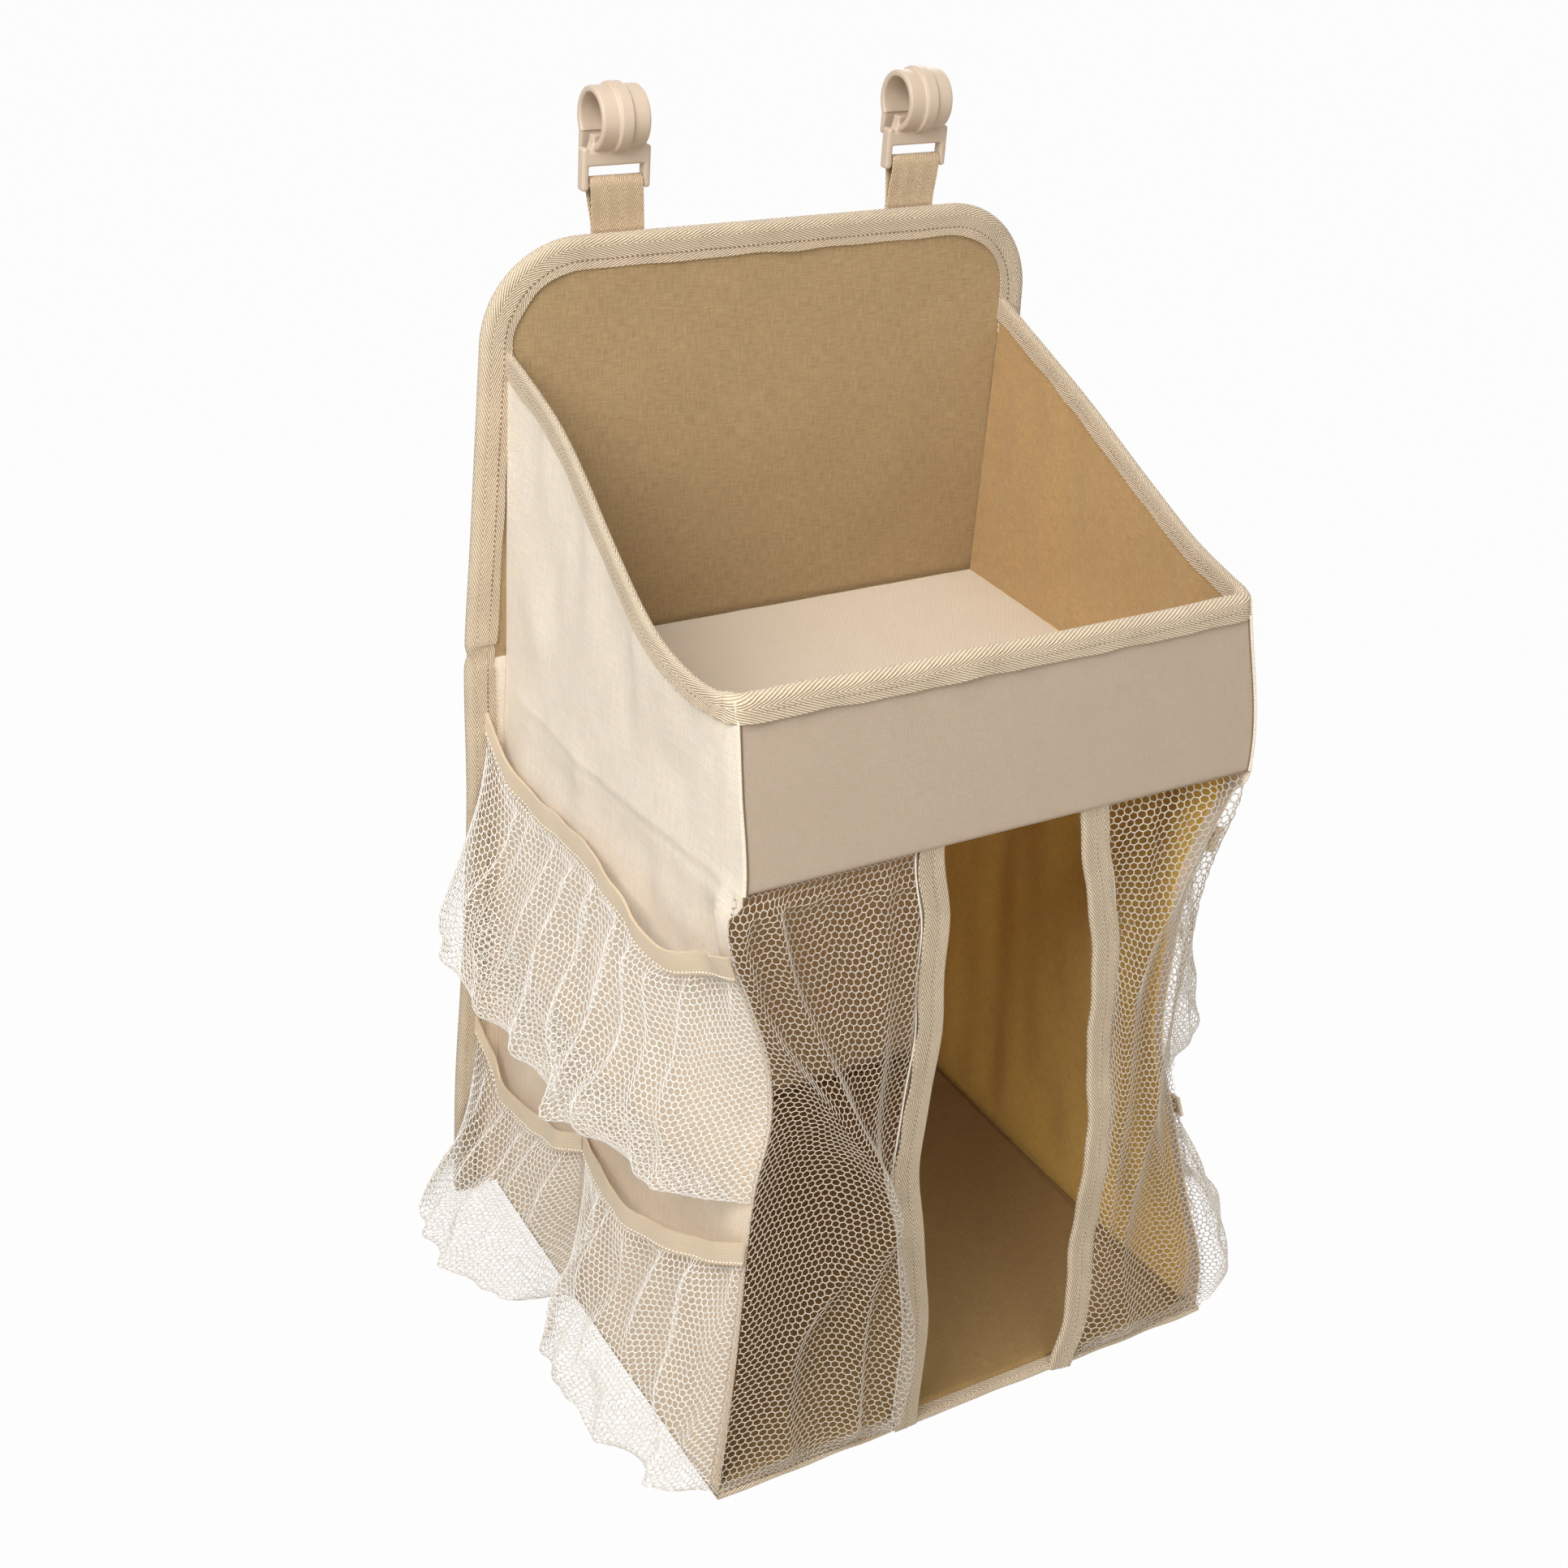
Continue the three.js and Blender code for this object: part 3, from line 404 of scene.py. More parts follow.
def woven_material(name, colour, thread, contrast=0.10, slub=0.6, translucent=0.3, relief=0.12 * MM,
                   foot=None):
    """Plain-weave cotton: threads over and under each other, uneven yarn, a mottle, and painted shade at the
    foot.
    """
    material, tree, shader = new_material(name, colour, 0.92, sheen=0.15)
    shader.inputs["Subsurface Weight"].default_value = translucent
    shader.inputs["Subsurface Radius"].default_value = (1.0, 0.55, 0.22)
    shader.inputs["Subsurface Scale"].default_value = 2.5 * MM
    turns = np.pi / thread
    u, v = cloth_axes(tree, turns, turns)
    warp, weft = ridges(tree, u), ridges(tree, v)
    over = multiply(tree, maths(tree, "COSINE", u), maths(tree, "COSINE", v))
    side = maths(tree, "MULTIPLY_ADD", over, 0.5, 0.5)
    under = subtract(tree, 1.0, side)
    weave = weighted(tree, warp, side, weft, under)
    thick, long = 1 / (1.1 * thread), 1 / (14 * thread)
    yarn = subtract(tree, add(tree, streaks(tree, thick, long), streaks(tree, long, thick)), 1.0)
    mottle = subtract(tree, streaks(tree, 40.0, 40.0), 0.5)
    uneven = weighted(tree, yarn, slub * 3.5, mottle, 0.3)
    factor = add(tree, multiply(tree, weave, 0.45), add(tree, uneven, 0.3))
    tinted = shade(tree, colour, 1 - contrast * 2, 1 + contrast, factor)
    # Painted shade, darker towards the foot
    if foot is not None:
        tinted = painted_shade_at_foot(tree, tinted, foot)
    tree.links.new(tinted, shader.inputs["Base Color"])
    add_bump(tree, shader, add(tree, weave, multiply(tree, yarn, 2.5 * slub)), relief)
    return material


def herringbone_material(name, colour, column, rib, steep, contrast=0.34, relief=0.45 * MM):
    """Twill whose ribs turn back at each column: they slope by one rib across `steep` of the width."""
    material, tree, shader = new_material(name, colour, 0.9, sheen=0.2)
    u, v = cloth_axes(tree)
    fold = maths(tree, "PINGPONG", add(tree, u, 100 * column), column)
    slope = maths(tree, "DIVIDE", fold, steep)
    wobble = multiply(tree, streaks(tree, 300.0, 300.0, 1.0), 0.35)
    phase = add(tree, add(tree, maths(tree, "DIVIDE", v, rib), slope), wobble)
    rounded = maths(tree, "POWER", ridges(tree, multiply(tree, phase, np.pi)), 1.4)
    fibres = streaks(tree, 900.0, 900.0, 2.0)
    cloudy = streaks(tree, 60.0, 60.0, 2.0)
    ribbed = weighted(tree, rounded, 0.85, fibres, 0.25)
    factor = add(tree, ribbed, multiply(tree, subtract(tree, cloudy, 0.5), 0.3))
    paint(tree, shader, colour, 1 - contrast * 1.5, 1 + contrast * 0.4, factor)
    add_bump(tree, shader, add(tree, rounded, multiply(tree, fibres, 0.3)), relief)
    return material


def elastic_material(name, colour, rib=0.45 * MM, cross_thread=1.1 * MM):
    """Knitted elastic: fine ribs along the band over fine cross threads."""
    material, tree, shader = new_material(name, colour, 0.7, sheen=0.2)
    u, v = cloth_axes(tree, np.pi / rib, np.pi / cross_thread)
    weave = weighted(tree, ridges(tree, v), 0.65, ridges(tree, u), 0.35)
    factor = weighted(tree, weave, 0.7, streaks(tree, 80.0, 400.0, 2.0), 0.35)
    paint(tree, shader, colour, 0.86, 1.08, factor)
    add_bump(tree, shader, weave, 0.12 * MM)
    return material


def yarn_material(name, colour, roughness=0.6):
    """Thread or net yarn: slightly glossy, with fine twist and uneven whiteness."""
    material, tree, shader = new_material(name, colour, roughness, sheen=0.3)
    twist = object_noise(tree, 1600.0)
    paint(tree, shader, colour, 0.86, 1.1, weighted(tree, twist, 0.5, object_noise(tree, 35.0), 0.5))
    add_bump(tree, shader, twist, 0.12 * MM)
    return material


def plastic_material(name, colour):
    """Satin moulded plastic, with a fine grain and a little flow in its colour."""
    material, tree, shader = new_material(name, colour, 0.42, specular=0.5)
    shader.inputs["Subsurface Weight"].default_value = 0.08
    shader.inputs["Subsurface Radius"].default_value = (0.002, 0.0012, 0.0008)
    grain = object_noise(tree, 2600.0)
    flow = object_noise(tree, 60.0, 3.0)
    paint(tree, shader, colour, 0.95, 1.05, flow)
    rough = node(tree, "ShaderNodeMapRange", {0: flow, 3: 0.36, 4: 0.48})
    tree.links.new(rough.outputs[0], shader.inputs["Roughness"])
    add_bump(tree, shader, grain, 0.03 * MM)
    return material


def board_material(name, colour):
    """Grey-brown fibreboard, with its fibres."""
    material, tree, shader = new_material(name, colour, 0.85)
    fibres = object_noise(tree, 700.0, 5.0)
    paint(tree, shader, colour, 0.7, 1.3, fibres)
    add_bump(tree, shader, fibres, 0.1 * MM)
    return material


def times(colour, shares):
    """A colour with each channel changed by its share."""
    return [a * b for a, b in zip(colour, shares)]


def finish(name):
    """The material of that name, made the first time it is asked for."""
    if name + "_finish" in bpy.data.materials:
        return bpy.data.materials[name + "_finish"]
    tints = bpy.context.scene.caddy_colours
    thread = cloth_sizes().thread
    makers = {
        # The canvas is darkened towards the bottom: painted shade
        "canvas": (woven_material, tints.canvas, dict(
            thread=thread * 2, slub=0.2, relief=0.25 * MM, foot=(0.90, 0.85, 0.77))),
        "lining": (woven_material, tints.lining, dict(thread=thread)),
        "inside": (woven_material, tints.inside, dict(thread=thread, contrast=0.09)),
        "wings": (woven_material, times(tints.lining, (1.1, 0.98, 0.8)), dict(thread=thread, slub=0.5)),
        "behind": (woven_material, times(tints.inside, (0.62, 0.67, 1.54)), dict(
            thread=thread, contrast=0.09)),
        # The insert's cloth is a darker copy of the ochre inside cloth: painted shade on the floor inside
        "insert": (woven_material, times(tints.inside, (0.36, 0.38, 0.6)), dict(
            thread=thread, contrast=0.09, translucent=0.0)),
        "fascia_cloth": (woven_material, tints.fascia, dict(
            thread=thread, contrast=0.05, slub=0.25, translucent=0.0)),
        "shelf_cloth": (herringbone_material, tints.shelf, dict(
            column=9.0, rib=1.7 * MM, steep=1.2 * MM, contrast=0.11, relief=0.15 * MM)),
        "tape": (herringbone_material, tints.tape, dict(column=5.4 * MM, rib=2.5 * MM, steep=1.0 * MM)),
        "webbing": (herringbone_material, tints.webbing, dict(
            column=4 * MM, rib=-1.9 * MM, steep=0.9 * MM, contrast=0.2, relief=0.25 * MM)),
        "net": (yarn_material, tints.net, {}),
        "front_net": (yarn_material, tints.front_net, {}),
        "thread": (yarn_material, tints.thread, dict(roughness=0.5)),
        "seam": (yarn_material, tints.seam, dict(roughness=0.8)),
        "elastic": (elastic_material, tints.elastic, {}),
        "plastic": (plastic_material, tints.plastic, {}),
        "board": (board_material, tints.board, {}),
    }
    maker, colour, values = makers[name]
    return maker(name, tuple(colour), **values)


# Meshes
def placed(points):
    """Points in the caddy's own frame, moved to the frame of the part."""
    return np.asarray(points, float) + np.array([0, FACE_Y, BASE_Z])


def xyz(x, y, z):
    """Points from their coordinates, which are spread to one shape."""
    return np.stack(np.broadcast_arrays(x, y, z), axis=-1)


def unit(vectors):
    return vectors / np.linalg.norm(vectors, axis=-1, keepdims=True)


def between(start, end, share):
    return start + (end - start) * share


def linked(name, data):
    """An object with that data, in the scene."""
    made = bpy.data.objects.new(name, data)
    bpy.context.scene.collection.objects.link(made)
    return made


def applied(piece):
    """A plain mesh of what a piece and its modifiers make."""
    evaluated = piece.evaluated_get(bpy.context.evaluated_depsgraph_get())
    return bpy.data.meshes.new_from_object(evaluated)


def mesh_piece(name, points, faces, material, uv=None, crease=50):
    """A piece with its place in its mesh, smooth but for edges sharper than the crease angle."""
    mesh = bpy.data.meshes.new(name)
    mesh.from_pydata(np.asarray(points).tolist(), [], [list(f) for f in faces])
    if uv is not None:
        corners = np.zeros(len(mesh.loops), int)
        mesh.loops.foreach_get("vertex_index", corners)
        mesh.uv_layers.new(name="Cloth").data.foreach_set("uv", np.asarray(uv)[corners].ravel())
    mesh.shade_smooth()
    mesh.set_sharp_from_angle(angle=np.radians(crease))
    mesh.materials.append(finish(material))
    return linked(name, mesh)


def normals_of(grid):
    """The normal at each point of a grid of points (rows, columns, 3): across x down the rows."""
    normal = np.cross(np.gradient(grid, axis=1), np.gradient(grid, axis=0))
    return normal / np.maximum(np.linalg.norm(normal, axis=2, keepdims=True), 1e-12)


def arc_lengths(points):
    """How far along a row of points each one lies."""
    steps = np.linalg.norm(np.diff(points, axis=0), axis=-1)
    return np.concatenate([np.zeros((1, *steps.shape[1:])), np.cumsum(steps, axis=0)])


def laid_out(grid):
    """The grid's points as (across, along) on the flat cloth, in metres, from its middle lines."""
    rows, columns = grid.shape[:2]
    across = arc_lengths(np.swapaxes(grid, 0, 1))
    across = across.T - across[-1][:, None] / 2
    along = arc_lengths(grid)[:, columns // 2]
    return np.stack([across, np.broadcast_to(along[:, None], (rows, columns))], axis=-1)


def sheet_piece(name, grid, thickness, material, uv=None, shift=0.0):
    """A closed sheet of cloth round a grid of points, half its thickness on either side of it."""
    rows, columns = grid.shape[:2]
    normal = normals_of(grid)
    uv = laid_out(grid) if uv is None else uv
    layers = [grid + normal * (shift + thickness / 2), grid + normal * (shift - thickness / 2)]
    count = rows * columns
    index = np.arange(count).reshape(rows, columns)
    front = np.stack([index[:-1, :-1], index[:-1, 1:], index[1:, 1:], index[1:, :-1]], -1).reshape(-1, 4)
    rim = np.concatenate([index[0, :], index[1:, -1], index[-1, -2::-1], index[-2:0:-1, 0]])
    following = np.roll(rim, -1)
    walls = np.stack([following, rim, rim + count, following + count], -1)
    faces = np.concatenate([front, front[:, ::-1] + count, walls])
    points = np.concatenate([layer.reshape(-1, 3) for layer in layers])
    return mesh_piece(name, placed(points), faces, material, np.concatenate([uv.reshape(-1, 2)] * 2))


def flat_size(grid):
    """The width and length of the cloth that a grid of points stands for."""
    width = float(arc_lengths(np.swapaxes(grid, 0, 1))[-1].mean())
    return width, float(arc_lengths(grid)[-1].mean())


def cloth(name, grid, thickness, material, body="caddy", nodes=(), uv=None, shift=0.0):
    """A sheet of cloth that rides on a body and stands for CAD nodes."""
    piece = sheet_piece(name, grid, thickness, material, uv, shift)
    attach(piece, body)
    if nodes:
        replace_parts(piece, *nodes)
    width, length = flat_size(grid)
    area = float(np.linalg.norm(face_areas(grid), axis=-1).sum())


def face_areas(grid):
    """The area vector of each cell of a grid of points."""
    one = grid[1:, 1:] - grid[:-1, :-1]
    other = grid[1:, :-1] - grid[:-1, 1:]
    return np.cross(one, other) / 2


def ripples(a, b, seed, waves=6, low=0.6, high=1.8):
    """Smooth uneven waves over two coordinates, mostly between -1 and 1."""
    random = np.random.default_rng(seed)
    total = 0
    for _ in range(waves):
        angle, phase = random.uniform(0, 2 * np.pi, 2)
        pace = random.uniform(low, high) * 2 * np.pi
        total = total + np.sin(pace * (a * np.cos(angle) + b * np.sin(angle)) + phase)
    return total / waves**0.5


def bell(value, middle, width):
    return np.exp(-(((value - middle) / width) ** 2))


def ease(value):
    value = np.clip(value, 0, 1)
    return value * value * (3 - 2 * value)


# The shape of the side panels, which the pockets and curtains follow
def base_share(z):
    """How far down a height lies between the shelf, 0, and the base, 1."""
    return np.clip((SHELF_UNDER - z) / SHELF_UNDER, 0, 1)


def fascia_front(z):
    return FASCIA_FRONT + (z - FASCIA_FOOT) * LEAN


def curtain_line(z):
    """Depth of the line from the shelf's front edge to the base's."""
    return between(SHELF_FRONT, BASE_FRONT, base_share(z))


def side_front(z):
    """Depth of a side panel's front edge: at the fascia's face above the shelf, at the curtain below."""
    above = ease((z - SHELF_UNDER + 10 * MM) / (10 * MM))
    return between(curtain_line(z), fascia_front(z), above)


def rim_height(side, forward):
    return between(WING_TOP, FASCIA_TOP, forward) + RIM_RISE[side](forward)


def wing_bulge(side, forward, z):
    """How far a wing swells outwards between the stiff back panel and the stiff fascia."""
    up = np.clip((z - SHELF_TOP) / (rim_height(side, forward) - SHELF_TOP), 0, 1.1)
    return WING_BULGE[side] * up**1.4 * np.sin(np.pi * np.clip(forward, 0, 1) ** 2.2)


def side_reach(side, y, z):
    """Distance from the middle to a side panel's outer face, without its small creases."""
    forward = np.clip(y / side_front(z), 0, 1)
    plain = between(BODY_HALF, BASE_HALF, base_share(z))
    edge = FRONT_EDGE[side](z)
    return plain - (plain - edge) * forward**2.2 + wing_bulge(side, forward, z)


# Depth of the short upright fold below the shelf's front corner, and how far the shelf's line falls behind it
RIDGE_Y = -205 * MM
SHELF_LINE_DROP = 14 * MM


def side_creases(side, y, z):
    """Outward relief of a side panel: soft wrinkles, the line of the shelf's edge, the front fold."""
    forward = np.clip(y / side_front(z), 0, 1)
    seed = 11 if side == LEFT else 12
    soft = ripples(y / 0.10 + 0.2 * z / 0.1, z / 0.22, seed) + 0.6 * ripples(y / 0.042, z / 0.13, seed + 20)
    below = ease((SHELF_TOP - z) / (25 * MM)) + 1.1 * ease((z - SHELF_TOP) / (30 * MM))
    held = ease(forward / 0.12) * ease((1 - forward) / 0.06) * ease(z / (30 * MM))
    held = held * ease((rim_height(side, forward) - z) / (30 * MM))
    relief = cloth_sizes().wrinkle * 0.6 * soft * below * held
    crest = SHELF_TOP - 1.5 * MM - SHELF_LINE_DROP * np.clip((y - RIDGE_Y) / (115 * MM), 0, 1)
    seam = 0.9 * MM * bell(z, crest, 1.5 * MM) * ease(forward / 0.1)
    shadow = -(0.7 * MM * bell(z, crest - 4 * MM, 2.4 * MM) + 1.8 * MM * bell(z, crest - 17 * MM, 13 * MM))
    shadow = shadow * ease(forward / 0.2) * ease((1 - forward) / 0.1)
    window = ease((z - 245 * MM) / (25 * MM)) * ease((SHELF_TOP - z) / (10 * MM))
    ridge = 3.2 * MM * np.exp(-np.abs(y - RIDGE_Y) / (4.5 * MM)) * window
    dimple = -3.4 * MM * bell(y, -190 * MM, 10 * MM) * bell(z, 268 * MM, 16 * MM)
    return relief + seam + shadow + ridge + dimple


def side_point(side, y, z, out=0.0):
    return xyz(side * (side_reach(side, y, z) + side_creases(side, y, z) + out), y, z)


def make_side_panel(side):
    columns, lower, upper = 110, 110, 44
    forward = np.linspace(0, 1, columns)
    low = np.linspace(FLOOR_CLOTH + SEAT, SHELF_TOP, lower)
    grid = np.zeros((lower + upper, columns, 3))
    for j, share in enumerate(forward):
        top = rim_height(side, share) - cloth_sizes().tape - SEAT
        z = np.concatenate([low, np.linspace(SHELF_TOP, top, upper + 1)[1:]])
        grid[:, j] = side_point(side, between(REAR_EDGE, side_front(z), share), z)
    if side == RIGHT:
        grid = grid[:, ::-1]
    name = f"side_panel_{SIDES[side]}"
    flat = np.stack([-grid[..., 1], grid[..., 2]], axis=-1)
    layer = SIDE_CLOTH / 2
    cloth(f"canvas_{name}", grid, layer, "canvas", nodes=[name],
          uv=flat, shift=-layer / 2)
    edge_columns = 4
    short = slice(0, columns - edge_columns) if side == LEFT else slice(edge_columns, columns)
    # The lower lining takes the ochre inside cloth, which is partly painted light shining through the canvas
    parts = {
        "upper": ((slice(lower - 1, None), slice(None)), "wings"),
        "lower": ((slice(0, lower), short), "inside"),
    }
    for part, (cut, material) in parts.items():
        cloth(f"lining_{part}_{name}", grid[cut], layer - 0.06 * MM, material,
              nodes=[name], uv=flat[cut], shift=-1.5 * layer)


# Back panel
def back_half(z):
    """Half the width of the back panel, with its round top corners."""
    straight = BACK_EDGE(z)
    start = BACK_TOP - BACK_CORNER
    over = np.clip(z - start, 0, BACK_CORNER)
    return straight - BACK_CORNER + np.sqrt(np.maximum(BACK_CORNER**2 - over**2, 0))


def make_back_panel():
    inset = cloth_sizes().tape + SEAT
    rows = np.concatenate([
        np.linspace(0.5 * MM, 290 * MM, 40), np.linspace(292 * MM, 306 * MM, 15),
        np.linspace(310 * MM, BACK_TOP - BACK_CORNER, 22)[:-1],
        BACK_TOP - BACK_CORNER + (BACK_CORNER - inset) * np.sin(np.linspace(0, np.pi / 2, 24)),
    ])
    across = np.linspace(-1, 1, 90)
    z, u = np.meshgrid(rows, across, indexing="ij")
    x = u * (back_half(z) - inset)
    fold = bell(z, SHELF_TOP, 2.2 * MM)
    soft = 0.25 * MM * ripples(x / 0.09, z / 0.09, 31)
    above = ease((z - SHELF_TOP) / (20 * MM))
    front = xyz(x, CLOTH / 2 + 0.7 * MM * fold + soft * above * (1 - fold), z)
    rear = xyz(x, PANEL - CLOTH / 2 - 0.9 * MM * fold - soft * (1 - fold), z)[:, ::-1]
    at_shelf = int(np.searchsorted(rows, SHELF_TOP - PANEL / 2))
    z, share = np.meshgrid(np.linspace(FLOOR_CLOTH + SEAT, SHELF_UNDER - SEAT, 60), across, indexing="ij")
    reach = np.where(share < 0, side_reach(LEFT, 0.0, z), side_reach(RIGHT, 0.0, z)) - SIDE_CLOTH - 0.2 * MM
    inner = xyz(share * reach, -0.25 * MM, z)
    sheets = [
        ("lining_back", front[at_shelf:], CLOTH, "lining", "back_board_upper", "front"),
        ("canvas_back_front", front[:at_shelf + 1], CLOTH, "canvas", "back_board_lower", "front"),
        ("lining_inside_back", inner, 0.4 * MM, "behind", "canvas_back_front", "front"),
        ("canvas_back_rear", rear, CLOTH, "canvas", "back_board_upper", "rear"),
    ]
    for name, grid, thickness, material, board, cover in sheets:
        cloth(name, grid, thickness, material, nodes=[f"back_cover_{cover}"],
              uv=grid[..., [0, 2]])


# Tapes
REARWARD = np.array([0.0, 1.0, 0.0])
UPWARD = np.array([0.0, 0.0, 1.0])


def tape_steps(steps=9, bend_steps=10):
    """Across a folded tape: how far down its leg each step lies, and how far round the fold."""
    bend = np.linspace(0, np.pi, bend_steps + 1)[1:-1]
    down = np.concatenate([np.linspace(1, 0, steps), 0 * bend, np.linspace(0, 1, steps)])
    return down, np.concatenate([np.zeros(steps), bend, np.full(steps, np.pi)])


def folded_tape(name, line, inward, depth, half_core, leg, nodes, seed, loose=0.35 * MM):
    """A tape folded over an edge. line is the finished edge, inward points into the panel at each
    station, depth across it, and half_core is half of what the tape is folded over."""
    tape = cloth_sizes().tape
    half = half_core + SEAT / 3 + tape / 2
    along = arc_lengths(line)
    points, flat = [], []
    for down, turn in zip(*tape_steps()):
        second = turn > 1
        edge = loose * ripples(along / 0.035, 0 * along + turn, seed + second) * down
        lift = 0.25 * MM * down * np.abs(ripples(along / 0.05, 0 * along, seed + 5 + second))
        into = (half * (1 - np.sin(turn)) + down * leg + edge)[:, None]
        out = (-(half + lift) * np.cos(turn))[:, None]
        points.append(line + inward * into + depth * out)
        side = -1 if turn < np.pi / 2 else 1
        reach = half.mean() * abs(turn - np.pi / 2) + down * leg
        flat.append(np.stack([0 * along + side * reach, along], axis=-1))
    cloth(name, np.stack(points, axis=1), tape, "tape", nodes=nodes,
          uv=np.stack(flat, axis=1))


def tape_face(half_core):
    """How far a folded tape's outer face lies from the middle of what it is folded over."""
    return half_core + SEAT / 3 + cloth_sizes().tape


def edge_frame(line, depth_guess):
    """Inward and depth directions along a line that runs with the panel's inside on a known side."""
    run = unit(np.gradient(line, axis=0))
    depth = unit(depth_guess - run * (run * depth_guess).sum(1, keepdims=True))
    return np.cross(depth, run), depth


def back_line():
    """The back panel's finished edge: up the left, over the top and down the right."""
    start = BACK_TOP - BACK_CORNER
    rise = np.concatenate([
        np.linspace(0.5 * MM, 288 * MM, 70), np.linspace(290 * MM, 308 * MM, 25),
        np.linspace(312 * MM, start, 34),
    ])
    pinch = 1.2 * MM * bell(rise, SHELF_TOP, 3 * MM)
    left = xyz(-(BACK_EDGE(rise) - pinch), PANEL / 2, rise)
    angle = np.linspace(0, np.pi / 2, 22)[1:]
    middle = BACK_EDGE(start) - BACK_CORNER
    corner = xyz(-middle - BACK_CORNER * np.cos(angle), PANEL / 2, start + BACK_CORNER * np.sin(angle))
    top = xyz(np.linspace(-middle, 0, 36)[1:-1], PANEL / 2, BACK_TOP)
    half = np.concatenate([left, corner, top])
    mirrored = half[::-1] * np.array([-1, 1, 1])
    return np.concatenate([half, [[0, PANEL / 2, BACK_TOP]], mirrored])


# How far the stitches stand in from the inner edge of the back's tape, and from the rim tape's core
BACK_STITCH_INSET = 3.2 * MM
RIM_STITCH_INSET = 4.4 * MM


def make_back_binding():
    line = back_line()
    inward, depth = edge_frame(line, REARWARD)
    core = PANEL / 2 - 1.1 * MM * bell(line[:, 2], SHELF_TOP, 4 * MM)
    leg = cloth_sizes().tape_leg
    folded_tape("tape_back_binding", line, inward, depth, core, leg, ["back_binding"],
                41)
    into = PANEL / 2 + leg - BACK_STITCH_INSET
    # The stitches are dark: painted shade in the stitch holes
    for sign, label in ((-1, "front"), (1, "rear")):
        path = line + inward * into + depth * (sign * tape_face(core))[:, None]
        stitches(f"stitches_back_{label}", path, 0.7, "seam", heavier=1.5)


def rim_line(fascia_y, corner_radius=5 * MM):
    """The rim's finished edge: forward along the left wing, across the fascia and back along the right."""
    wings, corners, ends = {}, {}, {}
    angle = np.linspace(0, np.pi / 2, 12)
    for side in SIDES:
        forward = np.concatenate([np.linspace(0, 0.9, 60), np.linspace(0.91, 0.965, 8)])
        z = rim_height(side, forward)
        y = between(REAR_EDGE, side_front(z), forward)
        wings[side] = xyz(side * (side_reach(side, y, z) - SIDE_CLOTH / 2), y, z)
        ends[side] = side_reach(side, fascia_y, FASCIA_TOP) - SIDE_CLOTH / 2
        corners[side] = xyz(side * (ends[side] - corner_radius * (1 - np.cos(angle))),
                            fascia_y + corner_radius * (1 - np.sin(angle)), FASCIA_TOP)
    x = np.linspace(-ends[LEFT] + corner_radius, ends[RIGHT] - corner_radius, 90)[1:-1]
    wave = 0.7 * MM * ripples(x / 0.12, 0 * x, 51) * ease((ends[RIGHT] - np.abs(x)) / (30 * MM))
    front = xyz(x, fascia_y, FASCIA_TOP + wave)
    line = np.concatenate([wings[LEFT], corners[LEFT], front, corners[RIGHT][::-1], wings[RIGHT][::-1]])
    for _ in range(3):
        line[1:-1] = (line[:-2] + 2 * line[1:-1] + line[2:]) / 4
    return line


def make_rim_binding():
    """The tape over the left wing, along the fascia's top edge and over the right wing."""
    fascia_y = fascia_front(FASCIA_TOP) + PANEL / 2 / LEAN_COS
    line = rim_line(fascia_y)
    outward = unit(np.cross(np.gradient(line, axis=0), UPWARD))
    reach, away = 12 * MM, np.abs(line[:, 1] - fascia_y)
    at_front = ease((away < reach) * (1 - away / reach))
    inward, depth = edge_frame(line, -(outward + xyz(0, 0, LEAN * at_front)))
    core = SIDE_CLOTH / 2 + (PANEL - SIDE_CLOTH) / 2 * at_front
    rim_leg_share = 0.75
    leg = cloth_sizes().tape_leg * rim_leg_share
    folded_tape("tape_rim_binding", line, inward, depth, core, leg, ["rim_binding"],
                61, 0.4 * MM)
    # The stitches are dark: painted shade in the stitch holes
    for sign, label in ((-1, "outer"), (1, "inner")):
        path = line + inward * (core[:, None] + RIM_STITCH_INSET) + depth * sign * tape_face(core)[:, None]
        stitches(f"stitches_rim_{label}", path, 0.35, "seam")


# Stitches and nets, by Geometry Nodes
def node_group(name, sockets, build):
    """The Geometry Nodes group of that name, made the first time it is asked for. It has named inputs, as
    (kind, default), and what is built from them comes out as real geometry, in its material, smooth."""
    if name in bpy.data.node_groups:
        return bpy.data.node_groups[name]
    tree = bpy.data.node_groups.new(name, "GeometryNodeTree")
    tree.interface.new_socket("Geometry", in_out="INPUT", socket_type="NodeSocketGeometry")
    for label, (kind, value) in {**sockets, "Material": ("NodeSocketMaterial", None)}.items():
        socket = tree.interface.new_socket(label, in_out="INPUT", socket_type=kind)
        if value is not None:
            socket.default_value = value
    tree.interface.new_socket("Geometry", in_out="OUTPUT", socket_type="NodeSocketGeometry")
    given = node(tree, "NodeGroupInput").outputs
    real = node(tree, "GeometryNodeRealizeInstances", {0: build(tree, given)})
    painted = node(tree, "GeometryNodeSetMaterial", {"Geometry": real, "Material": given["Material"]})
    smooth = node(tree, "GeometryNodeSetShadeSmooth", {"Geometry": painted})
    node(tree, "NodeGroupOutput", {0: smooth})
    return tree


